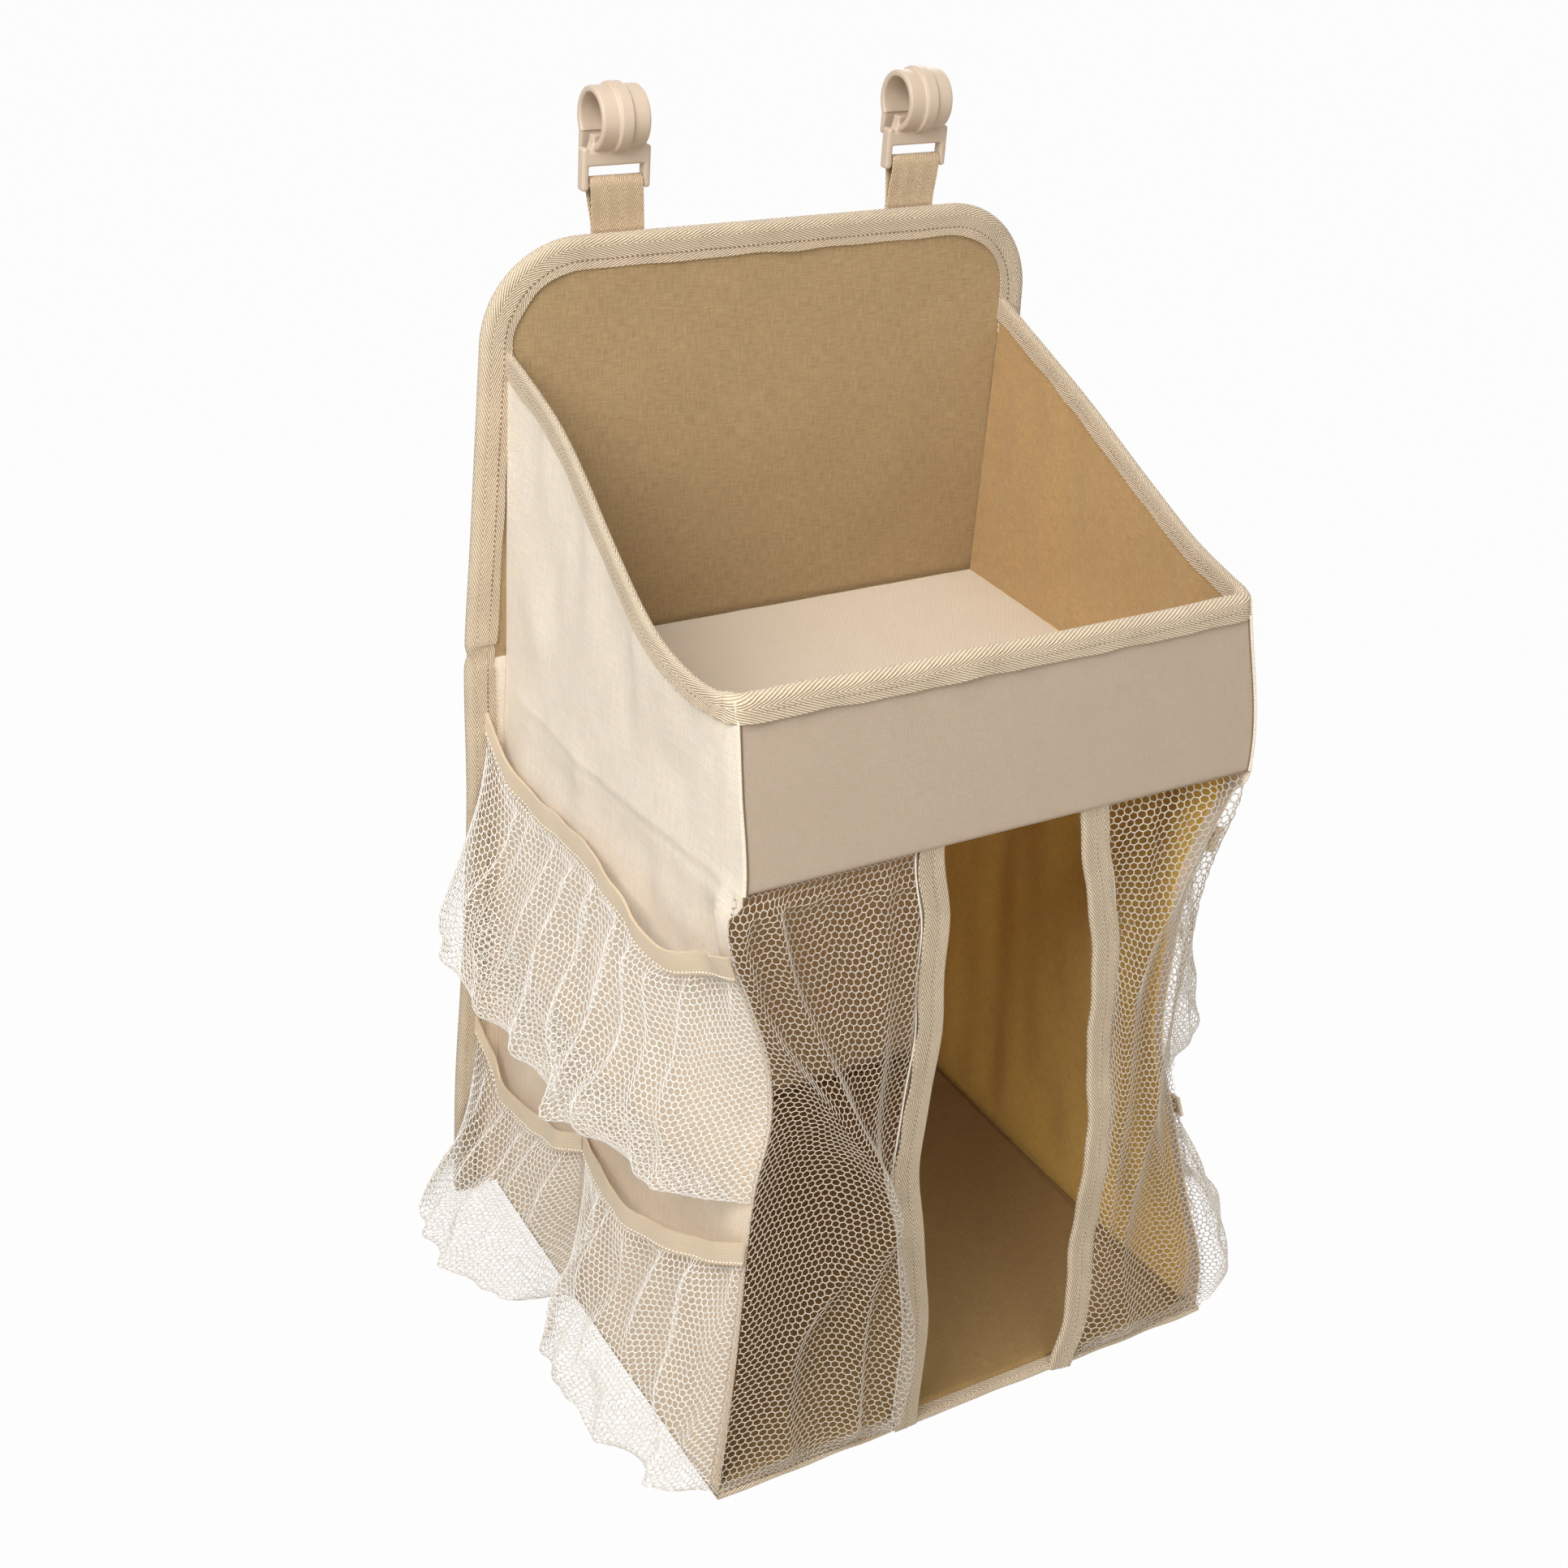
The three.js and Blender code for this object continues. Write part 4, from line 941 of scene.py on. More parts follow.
def lay_stitches(tree, given):
    """Stitches along a path: small rounded lengths of thread, laid end to end with a gap."""
    curve = node(tree, "GeometryNodeMeshToCurve", {"Mesh": given["Geometry"]})
    spaced = node(tree, "GeometryNodeResampleCurve", {"Curve": curve, "Length": given["Pitch"]},
                  mode="LENGTH")
    bead = node(tree, "GeometryNodeMeshUVSphere", {"Segments": 6, "Rings": 4, "Radius": 0.5})
    along = node(tree, "GeometryNodeInputTangent")
    turn = node(tree, "FunctionNodeAlignRotationToVector", {"Vector": along}, axis="X")
    size = node(tree, "ShaderNodeCombineXYZ",
                {0: given["Stitch length"], 1: given["Stitch width"], 2: given["Stitch width"]})
    return node(tree, "GeometryNodeInstanceOnPoints",
                {"Points": spaced, "Instance": bead, "Rotation": turn, "Scale": size})


def knit_net(tree, given):
    """A sheet of triangles made a net: each point becomes a hexagonal gap with yarn round it."""
    cells = node(tree, "GeometryNodeDualMesh", {0: given["Geometry"]})
    inset = node(tree, "GeometryNodeExtrudeMesh", {"Mesh": cells, "Offset Scale": 0.0, "Individual": True},
                 mode="FACES")
    gaps = inset.outputs["Top"]
    sized = {"Geometry": inset.outputs["Mesh"], "Selection": gaps, "Scale": given["Gap share"]}
    shrunk = node(tree, "GeometryNodeScaleElements", sized, domain="FACE")
    yarn = node(tree, "GeometryNodeDeleteGeometry", {"Geometry": shrunk, "Selection": gaps}, domain="FACE")
    shared = node(tree, "GeometryNodeInputMeshEdgeNeighbors")
    inner = node(tree, "FunctionNodeCompare", {"A": shared, "B": 2}, data_type="INT", operation="LESS_THAN")
    rim = node(tree, "GeometryNodeFieldOnDomain", {0: inner}, data_type="BOOLEAN", domain="EDGE")
    middle = node(tree, "FunctionNodeBooleanMath", {0: rim}, operation="NOT")
    normal = node(tree, "GeometryNodeInputNormal")
    faces = []
    for share in (0.5, -0.5):
        lift = multiply(tree, given["Yarn thickness"], share)
        offset = node(tree, "ShaderNodeVectorMath", {0: normal, "Scale": lift}, operation="SCALE")
        faces.append(node(tree, "GeometryNodeSetPosition",
                          {"Geometry": yarn, "Selection": middle, "Offset": offset}))
    flipped = node(tree, "GeometryNodeFlipFaces", {"Mesh": faces[1]})
    both = node(tree, "GeometryNodeJoinGeometry", {0: faces[0]})
    tree.links.new(flipped.outputs[0], both.inputs[0])
    return node(tree, "GeometryNodeMergeByDistance", {"Geometry": both, "Distance": 1e-6})


def stitch_group():
    return node_group("Stitches", {
        "Pitch": ("NodeSocketFloat", 2.2 * MM),
        "Stitch length": ("NodeSocketFloat", 1.6 * MM),
        "Stitch width": ("NodeSocketFloat", 0.5 * MM),
    }, lay_stitches)


def net_group():
    return node_group("Hexagonal net", {
        "Gap share": ("NodeSocketFloat", 0.82),
        "Yarn thickness": ("NodeSocketFloat", 0.6 * MM),
    }, knit_net)


def made_by_nodes(name, points, edges, faces, group, values):
    """A plain mesh piece from a base mesh and a Geometry Nodes group with the given named inputs."""
    base = bpy.data.meshes.new(name + "_base")
    base.from_pydata(np.asarray(points).tolist(), edges, faces)
    holder = linked(name + "_base", base)
    modifier = holder.modifiers.new(group.name, "NODES")
    modifier.node_group = group
    for item in group.interface.items_tree:
        if item.in_out == "INPUT" and item.name in values:
            modifier[item.identifier] = values[item.name]
    mesh = applied(holder)
    bpy.data.objects.remove(holder)
    bpy.data.meshes.remove(base)
    mesh.name = name
    return linked(name, mesh)


def stitches(name, path, length=0.7, material="thread", heavier=1.0):
    """A row of stitches along a path in the caddy's own frame; each fills that share of its pitch."""
    sizes = cloth_sizes()
    edges = [(k, k + 1) for k in range(len(path) - 1)]
    values = {"Pitch": sizes.stitch, "Stitch length": sizes.stitch * length,
              "Stitch width": sizes.stitch_width * heavier, "Material": finish(material)}
    piece = made_by_nodes(name, placed(path), edges, [], stitch_group(), values)
    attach(piece, "caddy")


def net_layout(surface, steps=(220, 160)):
    """Where each gap of a net lies on a surface(u, v) of points, with even spacing along the cloth:
    returns (points, triangles, width, length)."""
    pitch, row_step = net_sizes().pitch, net_sizes().row
    u_line, v_line = np.linspace(0, 1, steps[0]), np.linspace(0, 1, steps[1])
    v, u = np.meshgrid(v_line, u_line, indexing="ij")
    table = surface(u, v)
    across = arc_lengths(np.swapaxes(table, 0, 1)).T
    along = arc_lengths(table)
    width, length = float(np.median(across[:, -1])), float(np.percentile(along[-1], 80))
    rows, columns = int(length / row_step), int(width / pitch)
    margin = (length - rows * row_step) / 2
    points_u, points_v, starts = [], [], []
    for row in range(-1, rows + 2):
        share = np.clip((margin + row * row_step) / length, 0, 1)
        line = across[int(round(share * (steps[1] - 1)))]
        shift = 0.25 + (row % 2) / 2
        places = np.clip((np.arange(-1, columns + 1) + shift) / columns, 0, 1)
        u_row = np.interp(places, line / line[-1], u_line)
        starts.append(len(points_u))
        points_u.extend(u_row)
        for u_one in u_row:
            column = along[:, int(round(u_one * (steps[0] - 1)))]
            points_v.append(np.interp(share, column / column[-1], v_line))
    per_row = columns + 2
    triangles = []
    for row, (a, b) in enumerate(zip(starts, starts[1:])):
        for k in range(per_row - 1):
            if row % 2 == 0:
                triangles += [(a + k, a + k + 1, b + k + 1), (a + k, b + k + 1, b + k)]
            else:
                triangles += [(a + k, a + k + 1, b + k), (a + k + 1, b + k + 1, b + k)]
    return surface(np.array(points_u), np.array(points_v)), triangles, width, length


def make_net(name, side, surface, node_name, material="net"):
    """A net over a surface(u, v), which is run the other way on the right so that its face stays outside."""
    turned = surface if side == LEFT else lambda u, v: surface(1 - u, v)
    points, triangles, width, length = net_layout(turned)
    sizes = net_sizes()
    values = {"Gap share": 1 - sizes.strand / sizes.pitch, "Yarn thickness": sizes.thickness,
              "Material": finish(material)}
    piece = made_by_nodes(name, placed(points), [], triangles, net_group(), values)
    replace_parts(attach(piece, "caddy"), node_name)


# Curtains
CURTAIN_FOOT = HEM_TOP - 1.5 * MM
CURTAIN_TOP = FASCIA_FOOT + 0.8 * MM
CURTAIN_TAPE = 12.5 * MM


def curtain_depth(z):
    return curtain_line(np.minimum(z, SHELF_UNDER)) - 2 * MM


def curtain_surface(side):
    """The net curtain from the side panel's front edge, u = 0, to the tape, u = 1."""
    half_tape = CURTAIN_TAPE / 2 - 2 * MM

    def surface(u, v):
        z = between(CURTAIN_FOOT, CURTAIN_TOP, v)
        y = curtain_depth(z)
        x = between(side_reach(side, y, z) + 2.2 * MM, TAPE_LINE[side](z) + half_tape, u)
        held = ease(u / 0.03) * ease((1 - u) / 0.10) * ease(v / 0.05) * ease((1 - v) / 0.04)
        shift = 0
        for crest, height, width in CURTAIN_FOLDS[side]:
            away = (x - crest(z)) / (width * MM)
            y = y - held * height * MM * np.exp(-np.abs(away) ** 1.2)
            shift = shift - held * 0.35 * height * MM * np.exp(-(away**2))
        y = y + held * 2.2 * MM * ripples(x / 0.06, z / 0.14, 71 + side)
        return xyz(side * (x + shift), y, z)

    return surface


def make_curtain(side):
    name = SIDES[side]
    # The curtains' net takes the darker yarn: painted shade
    make_net(f"net_curtain_{name}", side, curtain_surface(side), f"curtain_net_{name}",
             "front_net")
    z = np.linspace(CURTAIN_FOOT - 0.5 * MM, CURTAIN_TOP, 110)
    wave = 0.8 * MM * ripples(z / 0.05, 0 * z, 81 + side)
    opening = TAPE_LINE[side](z) - CURTAIN_TAPE / 2 + wave
    sway = 1.5 * MM * np.sin(np.pi * z / CURTAIN_TOP) * ripples(z / 0.12, 0 * z, 91 + side)
    line = xyz(side * opening, curtain_depth(z) - 0.5 * MM - sway, z)
    inward, depth = edge_frame(line, REARWARD)
    if side == LEFT:
        inward = -inward
    core = np.full(len(line), 0.45 * MM)
    leg = CURTAIN_TAPE - core[0] - cloth_sizes().tape
    folded_tape(f"tape_curtain_{name}", line, inward, depth, core, leg, [f"curtain_tape_{name}"],
                101 + side, 0.5 * MM)
    path = line + inward * (CURTAIN_TAPE / 2) - depth * tape_face(core)[:, None]
    # The stitches are dark: painted shade in the stitch holes
    stitches(f"stitches_curtain_{name}", path, 0.35, "seam")
    # The net's own turned edge shows as a thin cord beside the tape
    edge = line + inward * (CURTAIN_TAPE + 0.4 * MM) - depth * 0.3 * MM
    cord(f"selvedge_{name}", edge, 0.4 * MM, "thread")


def cord(name, path, radius, material, sides=8):
    """A closed round cord along a path of points in the caddy's own frame."""
    path = placed(path)
    run = unit(np.gradient(path, axis=0))
    one = unit(np.cross(run, [0.31, 0.83, 0.45]))
    other = np.cross(run, one)
    angle = np.linspace(0, 2 * np.pi, sides, endpoint=False)
    ring = one[:, None] * np.cos(angle)[:, None] + other[:, None] * np.sin(angle)[:, None]
    points = (path[:, None] + radius * ring).reshape(-1, 3)
    faces = []
    for k in range(len(path) - 1):
        for s in range(sides):
            t = (s + 1) % sides
            faces.append((k * sides + s, k * sides + t, (k + 1) * sides + t, (k + 1) * sides + s))
    last = (len(path) - 1) * sides
    faces.append(tuple(range(sides))[::-1])
    faces.append(tuple(last + s for s in range(sides)))
    uv = np.stack([np.tile(angle * radius, len(path)), np.repeat(arc_lengths(path), sides)], axis=-1)
    piece = mesh_piece(name, points, faces, material, uv, crease=80)
    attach(piece, "caddy")


# Pockets
def pocket_depth(pocket, u, z):
    """Depth of a place between a pocket's rear end, u = 0, and its front end at that height."""
    front = side_front(z) - 2.4 * MM if pocket["front"] is None else pocket["front"] * MM + 0 * z
    return between(pocket["rear"] * MM, front, u)


def pocket_place(pocket, side, u, z, out):
    return side_point(side, pocket_depth(pocket, u, z), z, out)


def pocket_folds(pocket, side, u, v):
    """Gathers of a pocket's net: sharp crests that run down from the band and spread."""
    random = np.random.default_rng(len(pocket["name"]) * 7 + (1 if side == LEFT else 4))
    relief = 0
    count = pocket["folds"]
    for k in range(count):
        start = (k + 0.5 + random.uniform(-0.3, 0.3)) / count
        drift = random.uniform(-0.10, 0.10)
        height = random.uniform(5, 10) * MM
        width = random.uniform(0.10, 0.2) / count
        bend = random.uniform(-0.03, 0.03)
        centre = start + drift * (1 - v) + bend * np.sin(2 * np.pi * v)
        away = (u - centre) / (width * (1 + 1.2 * (1 - v)))
        relief = relief + height * np.exp(-np.abs(away) ** 1.15)
    gathers = 1.1 * MM * np.abs(np.sin(np.pi * u * count * 2.6 + 3 * v)) * v**3
    return relief + gathers


def pocket_surface(pocket, side):
    """A pocket's net from its rear end, u = 0, to its front end, and from its foot to its band."""

    def surface(u, v):
        y_guess = pocket_depth(pocket, u, np.full_like(u, pocket["height"]))
        foot = pocket["foot"](y_guess)
        top = pocket["band"](y_guess) - BAND_HEIGHT + 1.5 * MM
        belly = np.sin(np.pi * v ** pocket["low"])
        out = 0.6 * MM + pocket["stand"](y_guess) * v + pocket["belly"][side](y_guess) * belly
        held = ease(u / 0.16) * ease((1 - u) / 0.08) * ease((1 - v) / 0.06) * ease(v / 0.12)
        out = out + held * (pocket_folds(pocket, side, u, v) - 2.5 * MM) * 0.9
        out = out + held * 2.0 * MM * ripples(u * 3, v * 2, 131)
        z = between(foot, top, v**1.6)
        sag = pocket["sag"] * np.sin(np.pi * np.clip(v / 0.45, 0, 1)) * ease(u / 0.1) * ease((1 - u) / 0.1)
        return pocket_place(pocket, side, u, z, np.maximum(out, 0.6 * MM)) - xyz(0, 0, sag)

    return surface


def make_pocket(pocket, side):
    label = SIDES[side]
    name = pocket["name"]
    make_net(f"net_{name}_{label}", side, pocket_surface(pocket, side), f"{name}_net_{label}")
    v, u = np.meshgrid(np.linspace(0, 1, 9), np.linspace(0, 1, 90), indexing="ij")
    y = pocket_depth(pocket, u, pocket["band"](-100 * MM + 0 * u))
    held = ease(u / 0.05) * ease((1 - u) / 0.05)
    scallop = 0.35 * MM * ripples(u * pocket["folds"] * 1.1, 0 * u, 141) * held
    curl = 0.8 * MM * (v - 0.5) ** 2 * held
    z = pocket["band"](y) - BAND_HEIGHT * (1 - v)
    grid = pocket_place(pocket, side, u, z, 1.4 * MM + pocket["stand"](y) + scallop * (1 - v) - curl)
    if side == RIGHT:
        grid = grid[:, ::-1]
    width, _ = flat_size(grid)
    cloth(f"elastic_{name}_{label}", grid, BAND_THICKNESS, "elastic",
          nodes=[f"{name}_band_{label}"], uv=np.stack([u * width, v * BAND_HEIGHT], axis=-1))
    second_row = 1
    path = grid[second_row] + normals_of(grid)[second_row] * (BAND_THICKNESS / 2 + 0.1 * MM)
    stitches(f"stitches_{name}_{label}", path, 0.6, heavier=1.5)


# Fascia, shelf, base and insert
def sleeve(name, low, high, open_axis, material, nodes, seed, body="caddy", turn=None,
           fitted=False):
    """Cloth wrapped round a board: from the open edge over the first face, round the fold and back."""
    thin = 3 - open_axis
    width = np.linspace(low[0], high[0], 70)
    mid = (low[thin] + high[thin]) / 2
    half = (high[thin] - low[thin]) / 2 - CLOTH / 2
    fold_at = low[open_axis] + half + CLOTH / 2
    run = np.linspace(high[open_axis], fold_at, 40)
    angle = np.linspace(0, np.pi, 10)[1:-1]
    along = np.concatenate([run, fold_at - half * np.sin(angle), run[::-1]])
    depth = np.concatenate([np.full(40, 1.0), np.cos(angle), np.full(40, -1.0)])
    grid = np.zeros((len(along), len(width), 3))
    soft = 0.18 * MM * ripples(width[None, :] / 0.07, along[:, None] / 0.07, seed)
    grid[..., 0] = width
    grid[..., open_axis] = along[:, None]
    grid[..., thin] = mid + depth[:, None] * (half - np.abs(soft))
    grid = turned_by(turn, grid)
    if fitted:
        grid = fit_between_sides(grid)
    cloth(name, grid, CLOTH, material, body=body, nodes=nodes)


def turned_by(turn, grid):
    """Points turned by a matrix and moved, if the turn is given as the two."""
    return grid if turn is None else grid @ np.array(turn[0]).T + np.array(turn[1])


def fit_between_sides(grid):
    """Moves points across so that what spans the body's width ends at the side panels."""
    x, y, z = np.moveaxis(grid, -1, 0)
    held = np.maximum(y, side_front(z))
    reach = np.where(x < 0, side_reach(LEFT, held, z), side_reach(RIGHT, held, z))
    return xyz(x * reach / BODY_HALF, y, z)


def fitted_board(name, low, high, turn=None, body="caddy"):
    """A board inside its cloth, as a plain slab between two corners."""
    thin = 2 if turn is None else 1
    across, along = np.meshgrid(np.linspace(0, 1, 12), np.linspace(0, 1, 8))
    shares = {0: across, 3 - thin: along, thin: np.full_like(across, 0.5)}
    grid = turned_by(turn, xyz(*[between(low[axis], high[axis], shares[axis]) for axis in range(3)]))
    grid = grid if body != "caddy" else fit_between_sides(grid)
    piece = sheet_piece(f"fibreboard_{name}", grid, high[thin] - low[thin], "board")
    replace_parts(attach(piece, body), f"{name}_board")


# How far a board's edges stand in from its cloth's
BOARD_INSET = 3 * MM
# How much less than the frame has the insert's cloth takes up at its left and at its rear
INSERT_LEFT_GAP = 3 * MM
INSERT_REAR_GAP = 4.5 * MM


def make_stiff_parts():
    half = BODY_HALF - SIDE_CLOTH - 0.1 * MM
    slope = (FASCIA_HEIGHT - cloth_sizes().tape - SEAT) / LEAN_COS
    turn = (Matrix.Rotation(-np.arctan(LEAN), 3, "X"), (0, FASCIA_FRONT, FASCIA_FOOT))
    sleeve("cloth_fascia", (-half, 0, 0), (half, PANEL, slope), 2, "fascia_cloth", ["fascia_cover"],
           3, turn=turn, fitted=True)
    board = (PANEL - 2.5 * MM) / 2
    fitted_board("fascia", (BOARD_INSET - half, board, 2 * MM),
                 (half - BOARD_INSET, PANEL - board, slope - 2 * MM), turn)
    half = BODY_HALF - SIDE_CLOTH - 0.2 * MM
    sleeve("cloth_shelf", (-half, SHELF_FRONT, SHELF_UNDER), (half, REAR_EDGE - SEAT, SHELF_TOP), 1,
           "shelf_cloth", ["shelf_cover"], 5, fitted=True)
    fitted_board("shelf", (BOARD_INSET - half, SHELF_FRONT + BOARD_INSET, SHELF_UNDER + board),
                 (half - BOARD_INSET, REAR_EDGE - BOARD_INSET, SHELF_TOP - board))
    low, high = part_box("insert_cover")
    low = (low.x + INSERT_LEFT_GAP, low.y - FACE_Y, low.z - BASE_Z)
    high = (high.x, high.y - FACE_Y - INSERT_REAR_GAP, high.z - BASE_Z)
    # The insert's cloth is darker than the inside cloth: painted shade on the floor
    sleeve("cloth_insert", low, high, 1, "insert", ["insert_cover"], 7,
           body="base_insert")
    inner = CLOTH + 0.3 * MM
    fitted_board("insert", [v + inner for v in low], [v - inner for v in high], body="base_insert")
    make_corner_piping()
    make_base()


def make_corner_piping():
    """The canvas rolled over each front corner of the fascia, and a dark cord beside it: painted shadow of
    the gap between the side and the fascia.
    """
    z = np.linspace(FASCIA_FOOT + 0.5 * MM, FASCIA_TOP - 8 * MM, 60)
    y = fascia_front(z)
    # The dark cord is painted shadow of the gap between the side and the fascia
    cords = {"corner": (0.9, 0.0, 0.7, "canvas"), "seam": (2.1, -0.05, 0.35, "seam")}
    for side, label in SIDES.items():
        for part, (inset, proud, radius, material) in cords.items():
            path = xyz(side * (side_reach(side, y, z) - inset * MM), y - proud * MM, z)
            cord(f"{part}_fascia_{label}", path, radius * MM, material, sides=12)


def make_base():
    v, u = np.meshgrid(np.linspace(0, 1, 50), np.linspace(0, 1, 60), indexing="ij")
    y = between(BASE_FRONT, REAR_EDGE - SEAT, v)
    x = between(-side_reach(LEFT, y, 0 * y), side_reach(RIGHT, y, 0 * y), u)
    layer = FLOOR_CLOTH / 2
    # The lining on the base takes the insert's dark cloth: painted shadow in the gap behind the insert
    for name, material, share in (("canvas_base", "canvas", 0.5), ("lining_base", "insert", 1.5)):
        grid = xyz(x, y, layer * share)
        cloth(name, grid, layer - 0.04 * MM, material, nodes=["base_floor"],
              uv=grid[..., :2])
    half_height = HEM_TOP / 2
    x = np.linspace(-FRONT_EDGE[LEFT](0), FRONT_EDGE[RIGHT](0), 90)
    turn = np.linspace(-0.5 * np.pi, 0.5 * np.pi, 9)
    wave = 0.25 * MM * ripples(x / 0.05, 0 * x, 151)
    rolled = np.concatenate([np.cos(turn), -np.linspace(0, 2.2, 6)[1:]])
    y = BASE_FRONT - (BASE_FRONT - HEM_FRONT) * rolled[None, :] * 0.8 + wave[:, None]
    z = half_height + (half_height - 0.4 * MM) * np.append(np.sin(turn), np.ones(5))
    grid = xyz(x[:, None], y, z)
    cloth("tape_base_hem", grid[:, ::-1], 0.8 * MM, "tape", nodes=["base_hem"])


# Straps and hooks

# The webbing's thickness, its share of the frame's strap width, and the stitches' heights above its foot, mm
WEBBING = 1.2 * MM
WEBBING_SHARE = 0.985
STRAP_STITCH_HEIGHTS = (6, 16, 26)


def strap_profile():
    """The webbing seen from its edge, as (y, z): up the tail, over the hook's bar and down again."""
    pivot, bar = STRAP_JOINT[2] - 2 * MM, BAR_JOINT[2]
    flat, wrap = 0.6 * MM, 2.7 * MM
    rise = np.linspace(0, 1, 16)
    tail = np.linspace(STRAP_FOOT, pivot, 30)
    points = [(-flat, z) for z in tail]
    points += [(-between(flat, wrap, ease(t)), between(pivot, bar, t)) for t in rise[1:]]
    angle = np.linspace(np.pi, 0, 18)[1:-1]
    points += [(wrap * np.cos(a), bar + wrap * np.sin(a)) for a in angle]
    points += [(between(wrap, flat, ease(t)), between(bar, pivot, t)) for t in rise]
    points += [(flat, z) for z in tail[::-1][1:]]
    return np.array(points)


def make_strap(side):
    label = SIDES[side]
    middle = side * HOOK_SPACING / 2
    y, z = strap_profile().T[..., None]
    risen = np.clip((z - STRAP_JOINT[2]) / (BAR_JOINT[2] - STRAP_JOINT[2]), 0, 1)
    across = np.linspace(-0.5, 0.5, 14) * STRAP_WIDTH * WEBBING_SHARE + middle
    grid = xyz(across + HOOK_SHIFT[side] * risen, STRAP_Y + y, z) - np.array([0, FACE_Y, BASE_Z])
    piece = sheet_piece(f"webbing_strap_{label}", grid, WEBBING - 0.1 * MM, "webbing")
    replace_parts(piece, f"strap_loop_{label}", f"strap_tail_{label}")
    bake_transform(piece)
    flat_size(grid)
    across = np.linspace(-0.42, 0.42, 30) * STRAP_WIDTH + middle
    for height in STRAP_STITCH_HEIGHTS:
        path = xyz(across, STRAP_Y + WEBBING + 0.1 * MM - FACE_Y, STRAP_FOOT + height * MM - BASE_Z)
        stitches(f"stitches_strap_{label}_{height}", path)


def boxed(low, high, round_by):
    """A bevelled box as a bmesh."""
    shape = bmesh.new()
    bmesh.ops.create_cube(shape, size=1)
    size = Vector(high) - Vector(low)
    middle = (Vector(high) + Vector(low)) / 2
    place = Matrix.Translation(middle) @ Matrix.Diagonal((*size, 1))
    bmesh.ops.transform(shape, matrix=place, verts=shape.verts)
    bmesh.ops.bevel(shape, geom=shape.edges[:], offset=round_by, segments=3, profile=0.5, affect="EDGES")
    return shape


def swept_sector(outline, angles, steps):
    """A solid whose (x, radius) outline turns about the x axis through the angles, in degrees."""
    shape = bmesh.new()
    rings = []
    for angle in np.radians(np.linspace(angles[0], angles[1], steps)):
        y, z = np.cos(angle), np.sin(angle)
        rings.append([shape.verts.new((x, r * y, r * z)) for x, r in outline(np.degrees(angle))])
    count = len(rings[0])
    for one, other in zip(rings, rings[1:]):
        for k in range(count):
            shape.faces.new((one[k], one[(k + 1) % count], other[(k + 1) % count], other[k]))
    shape.faces.new(rings[0][::-1])
    shape.faces.new(rings[-1])
    bmesh.ops.recalc_face_normals(shape, faces=shape.faces[:])
    return shape


def rounded_outline(half_width, inner, outer, round_by):
    """A rounded rectangle in (x, radius)."""
    points = []
    quarter = np.linspace(0, 90, 4)
    corners = [
        (half_width, outer, 0), (-half_width, outer, 90), (-half_width, inner, 180), (half_width, inner, 270),
    ]
    for x, r, start in corners:
        middle_x = x - np.sign(x) * round_by
        middle_r = r - round_by if r == outer else r + round_by
        for angle in np.radians(start + quarter):
            points.append((middle_x + round_by * np.cos(angle), middle_r + round_by * np.sin(angle)))
    return points


# The hooks' sizes, and the angles, in degrees, of their ring's ends and their rib's ends and fading
HOOK = {
    "bore": 10.1 * MM, "wall": 2.8 * MM, "width": 21.6 * MM, "lip_angle": -40, "foot_angle": 264,
    "rib_width": 5.6 * MM, "rib_height": 1.3 * MM, "rib_root": 1.2 * MM, "rib_sink": 0.15 * MM,
    "rib_from": 40, "rib_to": 258, "rib_rise": 14, "rib_fall": 8,
    "frame_depth": 5.4 * MM, "arm": 3 * MM, "play": 0.35 * MM,
    "crossbar": 6.2 * MM, "overlap": 0.6 * MM, "bar": 1.8 * MM, "lip_gap": 7 * MM, "lip": 2.8 * MM,
    "lip_length": 10 * MM, "voxel": 0.34 * MM, "ear": 1.4 * MM, "flare": 4.0 * MM,
}
# How far each strap's top and its hook stand to the side of the strap's foot
HOOK_SHIFT = {LEFT: -2.2 * MM, RIGHT: 0.0}


def hook_rib(outer):
    """The rib round a hook's ring, which sinks into it at both ends."""
    h = HOOK

    def outline(angle):
        reach = ease((angle - h["rib_from"]) / h["rib_rise"]) * ease((h["rib_to"] - angle) / h["rib_fall"])
        crest = outer + h["rib_height"] * reach - h["rib_sink"] * (1 - reach)
        return rounded_outline(h["rib_width"] / 2, outer - h["rib_root"], crest, 0.35 * MM)

    return swept_sector(outline, (h["rib_from"], h["rib_to"]), 60)


def hook_neck(top, front, rear):
    """The neck between a hook's ring and its frame, which widens in a curve."""
    h = HOOK
    neck = bmesh.new()
    outline = []
    for turn in np.linspace(0, 1, 9) * np.pi / 2:
        half = h["width"] / 2 - 0.2 * MM + h["flare"] * (1 - np.cos(turn))
        outline.append((half, top + h["flare"] * (1.6 - 1.9 * np.sin(turn))))
    outline = outline + [(-x, z) for x, z in outline[::-1]]
    near = [neck.verts.new((x, front + 0.5 * MM, z)) for x, z in outline]
    far = [neck.verts.new((x, rear - 0.5 * MM, z)) for x, z in outline]
    neck.faces.new(near)
    neck.faces.new(far[::-1])
    for k in range(len(outline)):
        n = (k + 1) % len(outline)
        neck.faces.new((near[n], near[k], far[k], far[n]))
    bmesh.ops.recalc_face_normals(neck, faces=neck.faces[:])
    return neck


